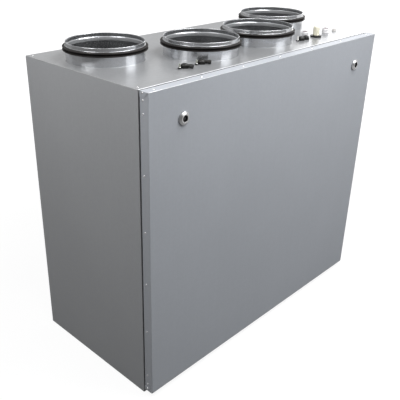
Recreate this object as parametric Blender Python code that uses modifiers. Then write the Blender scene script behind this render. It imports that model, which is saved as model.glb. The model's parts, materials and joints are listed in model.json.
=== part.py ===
# Vertical air handling unit: an insulated sheet-steel cabinet with four round
# duct spigots on its roof, cable glands beside them, and one lift-off front
# door that two quarter-turn locks hold. Metres, +Z up, front towards -Y.
# The origin is on the floor, under the middle of the cabinet.
#
# The cabinet's size follows from what it houses: four air shafts side by side,
# as wide as a spigot's flange, and over the floor a sump, the heat exchanger,
# the filters and a plenum.
import math

import bmesh
import bpy
from mathutils import Matrix, Vector

# Clearances
FIT = 0.0003
SHAFT_PLAY = 0.001
CORE_PLAY = 0.0005
CAM_GAP = 0.0055
RUNNING_GAP = 0.002

# Shell
WALL = 0.030
SHEET = 0.002
CASE_DEPTH = 0.540

# Door
DOOR_THICK = 0.034
DOOR_FLOOR_GAP = 0.020
DOOR_SEAM = 0.007
DOOR_SHEET = 0.002
SEAL_WIDTH = 0.016
SEAL_INSET = 0.004
TAB_HEIGHT = 0.016
TAB_THICK = 0.001
LEDGE_REACH = 0.026
LEDGE_MARGIN = 0.060
LEDGE_THICK = 0.0025
LEDGE_HEIGHT = 0.014

# Locks: a six-sided collar, a core with a square driver, and a cam behind
LOCK_FROM_SIDE = 0.131
LOCK_FROM_TOP = 0.0975
COLLAR_RADIUS = 0.0225
COLLAR_REACH = 0.008
COLLAR_RIM = 0.002
COLLAR_FACE_RADIUS = 0.0142
CORE_RADIUS = 0.0105
CORE_RECESS = 0.001
WELL_RADIUS = 0.0085
WELL_DEPTH = 0.009
DRIVER_SIZE = 0.008
DRIVER_DROP = 0.002
CAM_LENGTH = 0.042
CAM_WIDTH = 0.018
CAM_THICK = 0.004
CATCH_WIDTH = 0.080
CATCH_DEPTH = 0.024
CATCH_OVERLAP = 0.016
CATCH_THICK = 0.0025

# Duct spigots, for a standard 250 mm duct
SPIGOT_RADIUS = 0.125
SPIGOT_HEIGHT = 0.057
SPIGOT_WALL = 0.0015
SPIGOT_FLANGE = 0.008
FLANGE_THICK = 0.002
OUTER_SPIGOT_FROM_BACK = 0.204
INNER_SPIGOT_FROM_FRONT = 0.189
GROOVE_DEPTH = 0.002
GROOVE_HEIGHT = 0.016
GROOVE_BELOW_RIM = 0.013
LIP_REACH = 0.009
LIP_THICK = 0.0018
LIP_RISE = 0.001

# Roof fittings, placed from the front edge and from the outer spigots' axes
FITTINGS_FROM_FRONT = 0.083
GLAND_RADIUS = 0.0145
GLAND_NUT = 0.005
GLAND_CAP_RADIUS = 0.0120
GLAND_CAP = 0.0085
TALL_GLAND_CAP = 0.0140
GLAND_CROWN_RADIUS = 0.0072
GLAND_EDGE_RADIUS = 0.0106
GLAND_EDGE_DROP = 0.0018
GLAND_SHOULDER_DROP = 0.0045
ELBOW_RADIUS = 0.0065
ELBOW_NECK = 0.0053
ELBOW_REACH = 0.0335
ELBOW_END = 0.010
ELBOW_ROUND = 0.0022
ELBOW_TURNS = (-72, -56)
STUB_RADIUS = 0.0028
STUB_HEIGHT = 0.016
STUB_FOOT_RADIUS = 0.0060
STUB_FOOT_HEIGHT = 0.004
PLUG_RADIUS = 0.0065
PLUG_HEIGHT = 0.008
PLUG_FOOT_RADIUS = 0.0085
PLUG_FOOT_HEIGHT = 0.003
LEFT_GLAND_OFFSET = 0.0955
LEFT_GLAND_PITCH = 0.0735
STUB_AHEAD = 0.0212
RIGHT_STUB_OFFSET = 0.1757
RIGHT_NUT_OFFSET = 0.1545
RIGHT_NUT_PITCH = 0.0295
POWER_OFFSET = 0.058
POWER_NUT_RADIUS = 0.0230
POWER_NUT_HEIGHT = 0.006
POWER_RADIUS = 0.0118
POWER_HEIGHT = 0.033
POWER_SHOULDER = 0.003
POWER_BORE = 0.0050
POWER_BORE_DEPTH = 0.016
REAR_GLAND_OFFSET = 0.081
REAR_SETBACK = 0.034
SENSOR_OFFSET = 0.036
PLUG_OFFSET = 0.100
FAR_SETBACK = 0.019

# Inside, from the floor up
PARTITION = 0.012
MIDDLE_WALL = 0.030
SUMP_HEIGHT = 0.188
FILTER_GAP = 0.0666
FILTER_THICK = 0.048
PLENUM_HEIGHT = 0.122
SETBACK = 0.006
FILTER_LEDGE = 0.010
DECK_DROP = 0.050
DECK_THICK = 0.010
TRAY_DEPTH = 0.028
TRAY_WALL = 0.002
END_PLATE = 0.010
CORE_INSET = 0.012
POST_SIZE = 0.018
BOX_WIDTH = 0.220
BOX_DEPTH = 0.150
BOX_HEIGHT = 0.120
BOX_DROP = 0.020
BOX_SETBACK = 0.030

# Fans
FAN_RADIUS = 0.095
INLET_RADIUS = 0.064
RING_HEIGHT = 0.012
RING_WALL = 0.010
RING_LIP = 0.006
RING_SHEET = 0.002
SHROUD_THICK = 0.003
SHROUD_RISE = 0.003
BLADE_COUNT = 7
BLADE_HEIGHT = 0.066
BLADE_THICK = 0.0025
BLADE_SWEEP = 38
BLADE_ROOT = 0.010
BLADE_BITE = 0.0015
PLATE_THICK = 0.004
HUB_RADIUS = 0.030
HUB_NOSE = 0.020
HUB_DEPTH = 0.022
MOTOR_RADIUS = 0.040
MOTOR_HEIGHT = 0.030
BRIDGE_WIDTH = 0.024
BRIDGE_THICK = 0.006
BRIDGE_GAP = 0.016
FOOT_LIFT = 0.001
FOOT_THICK = 0.004

# Facets
ROUND_STEPS = 36
LOCK_STEPS = 32
SMALL_STEPS = 20
HEX = 6
SQUARE = 4
BLADE_POINTS = 4

# Derived places
FRONT = -CASE_DEPTH / 2
BACK = CASE_DEPTH / 2
INNER_BACK = BACK - WALL
SHAFT_WIDTH = 2 * (SPIGOT_RADIUS + SPIGOT_FLANGE + SHAFT_PLAY)
CHAMBER_OUTER = MIDDLE_WALL / 2 + SHAFT_WIDTH
CHANNEL_INNER = CHAMBER_OUTER + PARTITION
INNER_HALF = CHANNEL_INNER + SHAFT_WIDTH
HALF_WIDTH = INNER_HALF + WALL
EXCHANGER_HALF = CHAMBER_OUTER - FIT
EXCHANGER_FLOOR = WALL + SUMP_HEIGHT
EXCHANGER_Z = EXCHANGER_FLOOR + EXCHANGER_HALF
DECK_TOP = EXCHANGER_Z - DECK_DROP + DECK_THICK
FILTER_LEVEL = EXCHANGER_FLOOR + 2 * EXCHANGER_HALF + FILTER_GAP
ROOF_UNDER = FILTER_LEVEL + FILTER_THICK + PLENUM_HEIGHT
CASE_HEIGHT = ROOF_UNDER + WALL
DOOR_BACK = FRONT - DOOR_SEAM
DOOR_FRONT = DOOR_BACK - DOOR_THICK
LOCK_X = HALF_WIDTH - LOCK_FROM_SIDE
LOCK_Z = CASE_HEIGHT - LOCK_FROM_TOP
CATCH_FOOT = LOCK_Z + CAM_LENGTH - CATCH_OVERLAP
OUTER_SPIGOT_X = INNER_HALF - SHAFT_WIDTH / 2
INNER_SPIGOT_X = CHAMBER_OUTER - SHAFT_WIDTH / 2
OUTER_SPIGOT_Y = BACK - OUTER_SPIGOT_FROM_BACK
INNER_SPIGOT_Y = FRONT + INNER_SPIGOT_FROM_FRONT
SPIGOT_PLACES = [
    (-OUTER_SPIGOT_X, OUTER_SPIGOT_Y),
    (-INNER_SPIGOT_X, INNER_SPIGOT_Y),
    (INNER_SPIGOT_X, INNER_SPIGOT_Y),
    (OUTER_SPIGOT_X, OUTER_SPIGOT_Y),
]

# How a shape made along its own Z lies along each of the world's axes
ALONG = {
    "X": Matrix(((0, 0, 1, 0), (1, 0, 0, 0), (0, 1, 0, 0), (0, 0, 0, 1))),
    "Y": Matrix.Rotation(math.radians(90), 4, "X"),
    "Z": Matrix.Identity(4),
}

parts = None
cutters = None
slots = {}


def start_scene():
    """Empty the file and make the two collections."""
    global parts, cutters
    for item in list(bpy.data.objects):
        bpy.data.objects.remove(item, do_unlink=True)
    parts = bpy.data.collections.new("air_handling_unit")
    cutters = bpy.data.collections.new("cutters")
    bpy.context.scene.collection.children.link(parts)
    bpy.context.scene.collection.children.link(cutters)


def material(name, colour, roughness, metallic):
    """A plain Principled material, made once for each name."""
    if name not in slots:
        made = bpy.data.materials.new(name)
        made.use_nodes = True
        shader = made.node_tree.nodes["Principled BSDF"]
        shader.inputs["Base Color"].default_value = (*colour, 1.0)
        shader.inputs["Roughness"].default_value = roughness
        shader.inputs["Metallic"].default_value = metallic
        slots[name] = made
    return slots[name]


def galvanised():
    return material("galvanised_sheet", (0.46, 0.48, 0.50), 0.38, 0.75)


def bright_zinc():
    return material("bright_zinc", (0.62, 0.64, 0.66), 0.30, 0.85)


def chrome():
    return material("lock_chrome", (0.75, 0.75, 0.76), 0.15, 1.0)


def black_rubber():
    return material("black_rubber", (0.02, 0.02, 0.022), 0.6, 0.0)


def black_plastic():
    return material("black_plastic", (0.03, 0.03, 0.032), 0.45, 0.0)


def cream_plastic():
    return material("cream_plastic", (0.78, 0.73, 0.62), 0.45, 0.0)


def grey_plastic():
    return material("grey_plastic", (0.42, 0.43, 0.45), 0.5, 0.0)


def aluminium():
    return material("exchanger_aluminium", (0.70, 0.71, 0.72), 0.35, 0.9)


def filter_media():
    return material("filter_media", (0.82, 0.84, 0.85), 0.95, 0.0)


def link(name, mesh, surface):
    """Put a mesh in the scene as a named object with its material."""
    made = bpy.data.objects.new(name, mesh)
    if surface is not None:
        mesh.materials.append(surface)
    parts.objects.link(made)
    return made


def as_cutter(made):
    """A helper shape: seen as wire, never built."""
    made.hide_render = True
    made.display_type = "WIRE"
    for owner in list(made.users_collection):
        owner.objects.unlink(made)
    cutters.objects.link(made)
    return made


def box(name, low, high, surface=None):
    """A block between two corners, placed by its centre."""
    low, high = Vector(low), Vector(high)
    mesh = bpy.data.meshes.new(name)
    shape = bmesh.new()
    bmesh.ops.create_cube(shape, size=1.0)
    bmesh.ops.scale(shape, vec=high - low, verts=shape.verts)
    shape.to_mesh(mesh)
    shape.free()
    made = link(name, mesh, surface)
    made.location = (low + high) / 2
    return made


def open_box(name, low, high, surface, missing, sheet):
    """A block folded from sheet, open towards the missing side."""
    made = box(name, low, high, surface)
    shape = bmesh.new()
    shape.from_mesh(made.data)
    gone = [face for face in shape.faces if face.normal.dot(Vector(missing)) > 0.9]
    bmesh.ops.delete(shape, geom=gone, context="FACES")
    shape.to_mesh(made.data)
    shape.free()
    fold = made.modifiers.new("Sheet", "SOLIDIFY")
    fold.thickness = sheet
    fold.offset = -1
    fold.use_even_offset = True
    return made


def cylinder(name, radius, length, centre, axis="Z", surface=None, steps=ROUND_STEPS):
    """A round or many-sided bar along one axis, placed by its centre."""
    mesh = bpy.data.meshes.new(name)
    shape = bmesh.new()
    bmesh.ops.create_cone(shape, cap_ends=True, segments=steps, radius1=radius,
                          radius2=radius, depth=length)
    shape.to_mesh(mesh)
    shape.free()
    made = link(name, mesh, surface)
    made.matrix_world = Matrix.Translation(centre) @ ALONG[axis]
    return made


def hole_radius(radius, steps=ROUND_STEPS):
    """The corner radius of a faceted hole whose flats clear this radius."""
    return radius / math.cos(math.pi / steps)


def turned(name, profile, place, surface=None, closed=False, steps=ROUND_STEPS, axis="Z"):
    """A profile of (radius, height) points turned about its own axis.

    Along Y the heights run to the front."""
    mesh = bpy.data.meshes.new(name)
    last = len(profile)
    edges = [(i, i + 1) for i in range(last - 1)]
    if closed:
        edges.append((last - 1, 0))
    mesh.from_pydata([(r, 0, z) for r, z in profile], edges, [])
    made = link(name, mesh, surface)
    screw = made.modifiers.new("Turn", "SCREW")
    screw.axis = "Z"
    screw.steps = steps
    screw.render_steps = steps
    screw.use_merge_vertices = True
    screw.merge_threshold = 0.00002
    screw.use_smooth_shade = True
    made.matrix_world = Matrix.Translation(place) @ ALONG[axis]
    return made


def outlined(name, outlines, low, high, along="Y", surface=None, place=(0, 0, 0)):
    """Flat outlines given thickness from low to high along one axis.

    Along Y the points are (x, z), along X they are (y, z), and along Z they
    are (x, y), all measured from the place."""
    drawn = bpy.data.curves.new(name, "CURVE")
    drawn.dimensions = "2D"
    drawn.fill_mode = "BOTH"
    drawn.extrude = (high - low) / 2
    for outline in outlines:
        line = drawn.splines.new("POLY")
        line.points.add(len(outline) - 1)
        for point, (u, v) in zip(line.points, outline):
            point.co = (u, v, 0, 1)
        line.use_cyclic_u = True
    rough = bpy.data.objects.new(name + "_drawn", drawn)
    bpy.context.scene.collection.objects.link(rough)
    bpy.context.view_layer.update()
    seen = rough.evaluated_get(bpy.context.evaluated_depsgraph_get())
    mesh = bpy.data.meshes.new_from_object(seen)
    mesh.name = name
    bpy.data.objects.remove(rough, do_unlink=True)
    shape = bmesh.new()
    shape.from_mesh(mesh)
    bmesh.ops.remove_doubles(shape, verts=shape.verts, dist=0.00001)
    bmesh.ops.recalc_face_normals(shape, faces=shape.faces)
    shape.to_mesh(mesh)
    shape.free()
    mesh.materials.clear()
    made = link(name, mesh, surface)
    middle = (low + high) / 2
    shift = {"X": (middle, 0, 0), "Y": (0, middle, 0), "Z": (0, 0, middle)}[along]
    made.matrix_world = Matrix.Translation(Vector(place) + Vector(shift)) @ ALONG[along]
    return made


def boolean(made, other, operation):
    """Cut one shape by another, join the two, or keep what they share."""
    step = made.modifiers.new(operation.title(), "BOOLEAN")
    step.operation = operation
    step.solver = "EXACT"
    step.object = as_cutter(other)


def cut(made, other):
    boolean(made, other, "DIFFERENCE")


def join(made, other):
    boolean(made, other, "UNION")


def keep_within(made, other):
    boolean(made, other, "INTERSECT")


def carry(parent, child):
    """Make a child move with a parent that is placed but not turned."""
    child.parent = parent
    child.matrix_parent_inverse = Matrix.Translation(-Vector(parent.matrix_world.translation))


def carrier_at(name, place):
    """An empty on a joint's axis, which carries what moves there."""
    made = bpy.data.objects.new(name, None)
    parts.objects.link(made)
    made.location = place
    bpy.context.view_layer.update()
    return made


def span(side, near, far):
    """The low and high x of what lies between two distances on one side."""
    return sorted((side * near, side * far))


def make_panels():
    """The floor, sides, back and roof of the cabinet."""
    inner = INNER_HALF - FIT
    under_sheet = CASE_HEIGHT - SHEET - FIT
    box("base_panel", (-inner, FRONT, 0), (inner, BACK, WALL), galvanised())
    for side, label in ((-1, "left"), (1, "right")):
        x0, x1 = span(side, INNER_HALF, HALF_WIDTH)
        box(label + "_side_panel", (x0, FRONT, 0), (x1, BACK, under_sheet), galvanised())
    box("back_panel", (-inner, INNER_BACK, WALL + FIT), (inner, BACK, ROOF_UNDER - FIT), galvanised())
    roof = box("roof_panel", (-HALF_WIDTH, FRONT, CASE_HEIGHT - SHEET),
               (HALF_WIDTH, BACK, CASE_HEIGHT), bright_zinc())
    join(roof, box("roof_core", (-inner, FRONT, ROOF_UNDER), (inner, BACK, CASE_HEIGHT - SHEET / 2)))
    for number, (x, y) in enumerate(SPIGOT_PLACES, 1):
        cut(roof, cylinder("spigot_hole_%d" % number, hole_radius(SPIGOT_RADIUS + FIT), 3 * WALL,
                           (x, y, CASE_HEIGHT - WALL / 2)))


def make_spigots():
    """Four round collars with a rolled groove, and the lip seal in each."""
    rim = SPIGOT_HEIGHT
    outer = SPIGOT_RADIUS
    inner = outer - SPIGOT_WALL
    flange = outer + SPIGOT_FLANGE
    flange_top = -WALL - FIT
    flange_foot = flange_top - FLANGE_THICK
    groove_top = rim - GROOVE_BELOW_RIM
    groove_foot = groove_top - GROOVE_HEIGHT
    bed_top = groove_top - GROOVE_DEPTH
    bed_foot = groove_foot + GROOVE_DEPTH
    profile = [
        (outer, rim), (outer, groove_top), (outer - GROOVE_DEPTH, bed_top),
        (outer - GROOVE_DEPTH, bed_foot), (outer, groove_foot), (outer, flange_top),
        (flange, flange_top), (flange, flange_foot), (inner, flange_foot),
        (inner, groove_foot), (inner - GROOVE_DEPTH, bed_foot),
        (inner - GROOVE_DEPTH, bed_top), (inner, groove_top), (inner, rim),
    ]
    seat = outer - GROOVE_DEPTH + FIT
    lip = outer + LIP_REACH
    middle = (bed_top + bed_foot) / 2 + LIP_RISE
    valley = middle - LIP_THICK
    seal = [
        (outer + LIP_RISE, bed_top), (lip, middle + LIP_THICK), (lip, middle),
        (outer + LIP_REACH / 3, valley), (lip, bed_foot + LIP_THICK), (lip, bed_foot),
        (seat, bed_foot), (seat, bed_top),
    ]
    for number, (x, y) in enumerate(SPIGOT_PLACES, 1):
        turned("spigot_%d" % number, profile, (x, y, CASE_HEIGHT), bright_zinc(), closed=True)
        turned("spigot_seal_%d" % number, seal, (x, y, CASE_HEIGHT), black_rubber(), closed=True)


def make_door_frame():
    """The seal round the cabinet's mouth, the lock catches and the ledge."""
    outer_x = HALF_WIDTH - SEAL_INSET
    high = CASE_HEIGHT - SEAL_INSET
    low = DOOR_FLOOR_GAP + SEAL_INSET
    seal = box("door_seal", (-outer_x, DOOR_BACK + FIT, low), (outer_x, FRONT - FIT, high), black_rubber())
    cut(seal, box("seal_hole", (-outer_x + SEAL_WIDTH, DOOR_BACK - SEAL_WIDTH, low + SEAL_WIDTH),
                  (outer_x - SEAL_WIDTH, FRONT + SEAL_WIDTH, high - SEAL_WIDTH)))
    top = ROOF_UNDER - FIT
    angle = [
        (FRONT, top), (FRONT, CATCH_FOOT), (FRONT + CATCH_THICK, CATCH_FOOT),
        (FRONT + CATCH_THICK, top - CATCH_THICK), (FRONT + CATCH_DEPTH, top - CATCH_THICK),
        (FRONT + CATCH_DEPTH, top),
    ]
    for side, label in ((-1, "left"), (1, "right")):
        x0, x1 = span(side, LOCK_X - CATCH_WIDTH / 2, LOCK_X + CATCH_WIDTH / 2)
        outlined("catch_" + label, [angle], x0, x1, "X", galvanised())
    shelf = DOOR_FLOOR_GAP - FIT
    wall = FRONT - FIT
    web = wall - LEDGE_THICK
    under = shelf - LEDGE_THICK
    ledge = [
        (wall, shelf), (FRONT - LEDGE_REACH, shelf), (FRONT - LEDGE_REACH, under),
        (web, under), (web, shelf - LEDGE_HEIGHT), (wall, shelf - LEDGE_HEIGHT),
    ]
    end = HALF_WIDTH - LEDGE_MARGIN
    outlined("door_ledge", [ledge], -end, end, "X", galvanised())


def tab_outline(level, way):
    """A corner tab on the door's side flange, cut off at 45 degrees in front."""
    return [
        (DOOR_FRONT, level), (DOOR_FRONT + TAB_HEIGHT, level + way * TAB_HEIGHT),
        (DOOR_BACK, level + way * TAB_HEIGHT), (DOOR_BACK, level),
    ]


def make_door(carrier):
    """The folded door pan with its corner tabs, and its insulated inside."""
    low = Vector((-HALF_WIDTH, DOOR_FRONT, DOOR_FLOOR_GAP))
    high = Vector((HALF_WIDTH, DOOR_BACK, CASE_HEIGHT))
    skin = open_box("door_skin", low, high, galvanised(), (0, 1, 0), DOOR_SHEET)
    gap = DOOR_SHEET + FIT
    core = box("door_inner_panel", low + Vector((gap, gap, gap)), high - Vector((gap, 0, gap)),
               galvanised())
    bore = hole_radius(CORE_RADIUS + CORE_PLAY, LOCK_STEPS)
    for side, label in ((-1, "left"), (1, "right")):
        x0, x1 = span(side, HALF_WIDTH - TAB_THICK, HALF_WIDTH + TAB_THICK)
        tabs = outlined("tabs_" + label, [tab_outline(CASE_HEIGHT, -1), tab_outline(DOOR_FLOOR_GAP, 1)],
                        x0, x1, "X")
        join(skin, tabs)
        carry(carrier, tabs)
        for made, layer in ((skin, "skin"), (core, "core")):
            hole = cylinder("lock_hole_%s_%s" % (label, layer), bore, 4 * DOOR_THICK,
                            (side * LOCK_X, DOOR_BACK, LOCK_Z), "Y", steps=LOCK_STEPS)
            cut(made, hole)
            carry(carrier, hole)
    carry(carrier, skin)
    carry(carrier, core)


def make_lock(side, label, carrier):
    """A lock: the fixed collar on the door, and the core that turns in it."""
    x = side * LOCK_X
    face = DOOR_FRONT - FIT
    nose = face - COLLAR_REACH + CORE_RECESS
    cam_front = FRONT + CATCH_THICK + CAM_GAP
    cam_back = cam_front + CAM_THICK

    collar = cylinder("lock_collar_" + label, COLLAR_RADIUS, COLLAR_REACH,
                      (x, face - COLLAR_REACH / 2, LOCK_Z), "Y", chrome(), HEX)
    corner = COLLAR_RADIUS + FIT
    cone = turned("collar_cone_" + label, [
        (0, COLLAR_REACH), (COLLAR_FACE_RADIUS, COLLAR_REACH), (corner, COLLAR_RIM),
        (corner, -COLLAR_RIM), (0, -COLLAR_RIM),
    ], (x, face, LOCK_Z), axis="Y")
    keep_within(collar, cone)
    bore = cylinder("collar_bore_" + label, hole_radius(CORE_RADIUS + CORE_PLAY, LOCK_STEPS),
                    4 * COLLAR_REACH, (x, face, LOCK_Z), "Y", steps=LOCK_STEPS)
    cut(collar, bore)
    for made in (collar, cone, bore):
        carry(carrier, made)

    pivot = carrier_at("lock_pivot_" + label, (x, FRONT, LOCK_Z))
    length = cam_back - nose
    floor = length - WELL_DEPTH
    core = turned("lock_core_" + label, [
        (0, floor), (WELL_RADIUS, floor), (WELL_RADIUS, length), (CORE_RADIUS, length),
        (CORE_RADIUS, 0), (0, 0),
    ], (x, cam_back, LOCK_Z), black_plastic(), steps=LOCK_STEPS, axis="Y")
    tip = nose + DRIVER_DROP
    root = nose + WELL_DEPTH + DRIVER_DROP
    driver = cylinder("driver_" + label, DRIVER_SIZE / math.sqrt(2), root - tip,
                      (x, (tip + root) / 2, LOCK_Z), "Y", steps=SQUARE)
    half = CAM_WIDTH / 2
    end = -side * CAM_LENGTH
    shoulder = end + side * half / 2
    cam = outlined("cam_" + label, [[
        (0, half), (shoulder, half), (end, half / 2), (end, -half / 2), (shoulder, -half), (0, -half),
    ]], cam_front, cam_back - FIT, "Y", place=(x, 0, LOCK_Z))
    join(core, driver)
    join(core, cam)
    for made in (core, driver, cam):
        carry(pivot, made)
    carry(carrier, pivot)


def gland(name, x, y, surface, cap=GLAND_CAP):
    """A cable gland: a six-sided nut with a domed cap."""
    floor = CASE_HEIGHT + FIT
    top = GLAND_NUT + cap
    made = cylinder(name, GLAND_RADIUS, GLAND_NUT, (x, y, floor + GLAND_NUT / 2), "Z", surface, HEX)
    dome = [
        (0, top), (GLAND_CROWN_RADIUS, top), (GLAND_EDGE_RADIUS, top - GLAND_EDGE_DROP),
        (GLAND_CAP_RADIUS, top - GLAND_SHOULDER_DROP), (GLAND_CAP_RADIUS, GLAND_NUT / 2),
        (0, GLAND_NUT / 2),
    ]
    join(made, turned(name + "_cap", dome, (x, y, floor), steps=SMALL_STEPS))
    return made


def elbow(name, x, y, turn):
    """A rubber elbow with a thick round end, which lies on the roof."""
    level = CASE_HEIGHT + 2 * FIT + ELBOW_RADIUS
    shoulder = ELBOW_REACH - ELBOW_END
    arm = turned(name, [
        (0, ELBOW_REACH), (ELBOW_RADIUS - ELBOW_ROUND, ELBOW_REACH),
        (ELBOW_RADIUS, ELBOW_REACH - ELBOW_ROUND), (ELBOW_RADIUS, shoulder), (ELBOW_NECK, shoulder),
        (ELBOW_NECK, 0), (0, 0),
    ], (x, y, level), steps=SMALL_STEPS)
    arm.matrix_world = arm.matrix_world @ Matrix.Rotation(math.radians(turn), 4, "Z") @ ALONG["X"]
    return arm


def stub(name, x, y, surface, sizes=(STUB_RADIUS, STUB_HEIGHT, STUB_FOOT_RADIUS, STUB_FOOT_HEIGHT)):
    """A small hose stub, or a plug, on a round foot."""
    radius, height, foot_radius, foot_height = sizes
    profile = [
        (0, height), (radius, height), (radius, foot_height), (foot_radius, foot_height), (foot_radius, 0),
        (0, 0),
    ]
    return turned(name, profile, (x, y, CASE_HEIGHT + FIT), surface, steps=SMALL_STEPS)


def make_roof_fittings():
    """Glands, hose stubs and a plug in the two groups in front of the spigots."""
    row = FRONT + FITTINGS_FROM_FRONT
    for number, turn in enumerate(ELBOW_TURNS, 1):
        x = -OUTER_SPIGOT_X + LEFT_GLAND_OFFSET + (number - 1) * LEFT_GLAND_PITCH
        join(gland("gland_%d" % number, x, row, black_plastic()), elbow("elbow_%d" % number, x, row, turn))
        stub("stub_%d" % number, x - STUB_AHEAD, row, bright_zinc())
    stub("stub_3", OUTER_SPIGOT_X - RIGHT_STUB_OFFSET, row, cream_plastic())
    for number in (3, 4):
        x = OUTER_SPIGOT_X - RIGHT_NUT_OFFSET + (number - 3) * RIGHT_NUT_PITCH
        gland("gland_%d" % number, x, row, black_plastic())
    make_power_gland(OUTER_SPIGOT_X - POWER_OFFSET, row)
    rear = row + REAR_SETBACK
    gland("gland_5", OUTER_SPIGOT_X - REAR_GLAND_OFFSET, rear, grey_plastic(), TALL_GLAND_CAP)
    far = row + FAR_SETBACK
    gland("gland_6", OUTER_SPIGOT_X + SENSOR_OFFSET, far, grey_plastic(), TALL_GLAND_CAP)
    plug = (PLUG_RADIUS, PLUG_HEIGHT, PLUG_FOOT_RADIUS, PLUG_FOOT_HEIGHT)
    stub("stub_4", OUTER_SPIGOT_X + PLUG_OFFSET, far, cream_plastic(), plug)


def make_power_gland(x, y):
    """The tall strain relief of the supply cable, on its black nut."""
    floor = CASE_HEIGHT + FIT
    cylinder("power_nut", POWER_NUT_RADIUS, POWER_NUT_HEIGHT, (x, y, floor + POWER_NUT_HEIGHT / 2), "Z",
             black_plastic(), HEX)
    shoulder = POWER_RADIUS - POWER_SHOULDER
    body = [
        (0, POWER_HEIGHT - POWER_BORE_DEPTH), (POWER_BORE, POWER_HEIGHT - POWER_BORE_DEPTH),
        (POWER_BORE, POWER_HEIGHT), (shoulder, POWER_HEIGHT), (POWER_RADIUS, POWER_HEIGHT - POWER_SHOULDER),
        (POWER_RADIUS, 0), (0, 0),
    ]
    turned("power_gland", body, (x, y, floor + POWER_NUT_HEIGHT + FIT), cream_plastic(), steps=SMALL_STEPS)


def make_partitions():
    """Inner walls: the side channels, the middle wall and the fan decks."""
    back = INNER_BACK - FIT
    roof = ROOF_UNDER - FIT
    shelf = FILTER_LEVEL - FIT
    under = shelf - SHEET
    haunch = shelf - FILTER_LEDGE
    half = MIDDLE_WALL / 2
    reach = half + FILTER_LEDGE
    for side, label in ((-1, "left"), (1, "right")):
        face = side * CHAMBER_OUTER
        far = side * CHANNEL_INNER
        ledge = side * (CHAMBER_OUTER - FILTER_LEDGE)
        wall = [
            (far, DECK_TOP + FIT), (face, DECK_TOP + FIT), (face, haunch), (ledge, under), (ledge, shelf),
            (face, shelf), (face, roof), (far, roof),
        ]
        outlined(label + "_partition", [wall], FRONT, back, "Y", galvanised())
        x0, x1 = span(side, CHAMBER_OUTER, INNER_HALF - FIT)
        deck = box(label + "_fan_deck", (x0, FRONT, DECK_TOP - DECK_THICK), (x1, back, DECK_TOP),
                   galvanised())
        cut(deck, cylinder(label + "_inlet_hole", hole_radius(INLET_RADIUS), 4 * DECK_THICK,
                           (side * OUTER_SPIGOT_X, OUTER_SPIGOT_Y, DECK_TOP)))
    top = EXCHANGER_Z + EXCHANGER_HALF + FIT
    upper = [
        (-half, top), (half, top), (half, haunch), (reach, under), (reach, shelf), (half, shelf),
        (half, roof), (-half, roof), (-half, shelf), (-reach, shelf), (-reach, under), (-half, haunch),
    ]
    outlined("upper_partition", [upper], FRONT, back, "Y", galvanised())
    box("lower_partition", (-half, FRONT, WALL + FIT), (half, back, EXCHANGER_FLOOR - FIT), galvanised())


def diamond(x, z, half):
    """A square stood on its corner."""
    return [(x, z - half), (x + half, z), (x, z + half), (x - half, z)]


def make_exchanger():
    """A plate heat exchanger: a core and four posts between two end plates."""
    front = FRONT + SETBACK
    back = INNER_BACK - FIT
    bite = END_PLATE / 2
    block = outlined("heat_exchanger", [diamond(0, EXCHANGER_Z, EXCHANGER_HALF - CORE_INSET)],
                     front + bite, back - bite, "Y", aluminium())
    reach = EXCHANGER_HALF - POST_SIZE / 2 - FIT
    posts = [
        diamond(reach, EXCHANGER_Z, POST_SIZE / 2), diamond(-reach, EXCHANGER_Z, POST_SIZE / 2),
        diamond(0, EXCHANGER_Z + reach, POST_SIZE / 2), diamond(0, EXCHANGER_Z - reach, POST_SIZE / 2),
    ]
    join(block, outlined("exchanger_posts", posts, front + bite / 2, back - bite / 2))
    for place, label in ((front, "front"), (back - END_PLATE, "back")):
        plate = outlined("end_plate_" + label, [diamond(0, EXCHANGER_Z, EXCHANGER_HALF)], place,
                         place + END_PLATE)
        join(block, plate)


def make_filters():
    """Two filter cassettes on the ledges above the exchanger."""
    for side, label in ((-1, "left"), (1, "right")):
        x0, x1 = span(side, MIDDLE_WALL / 2 + FIT, CHAMBER_OUTER - FIT)
        box(label + "_filter", (x0, FRONT + SETBACK, FILTER_LEVEL),
            (x1, INNER_BACK - FIT, FILTER_LEVEL + FILTER_THICK), filter_media())


def make_tray():
    """The condensate tray under the right half of the exchanger."""
    floor = WALL + FIT
    open_box("drain_tray", (MIDDLE_WALL / 2 + FIT, FRONT + SETBACK, floor),
             (CHAMBER_OUTER, INNER_BACK - FIT, floor + TRAY_DEPTH), bright_zinc(), (0, 0, 1), TRAY_WALL)


def blade_outline(start):
    """One backward-curved blade, seen along the wheel's axis."""
    inner = INLET_RADIUS - BLADE_ROOT
    outer = FAN_RADIUS - BLADE_BITE
    line = []
    for step in range(BLADE_POINTS):
        share = step / (BLADE_POINTS - 1)
        line.append((inner + (outer - inner) * share, start - share * math.radians(BLADE_SWEEP)))
    leading = [(r * math.cos(a), r * math.sin(a)) for r, a in line]
    trailing = [(r * math.cos(a + BLADE_THICK / r), r * math.sin(a + BLADE_THICK / r)) for r, a in line]
    return leading + trailing[::-1]


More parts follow.
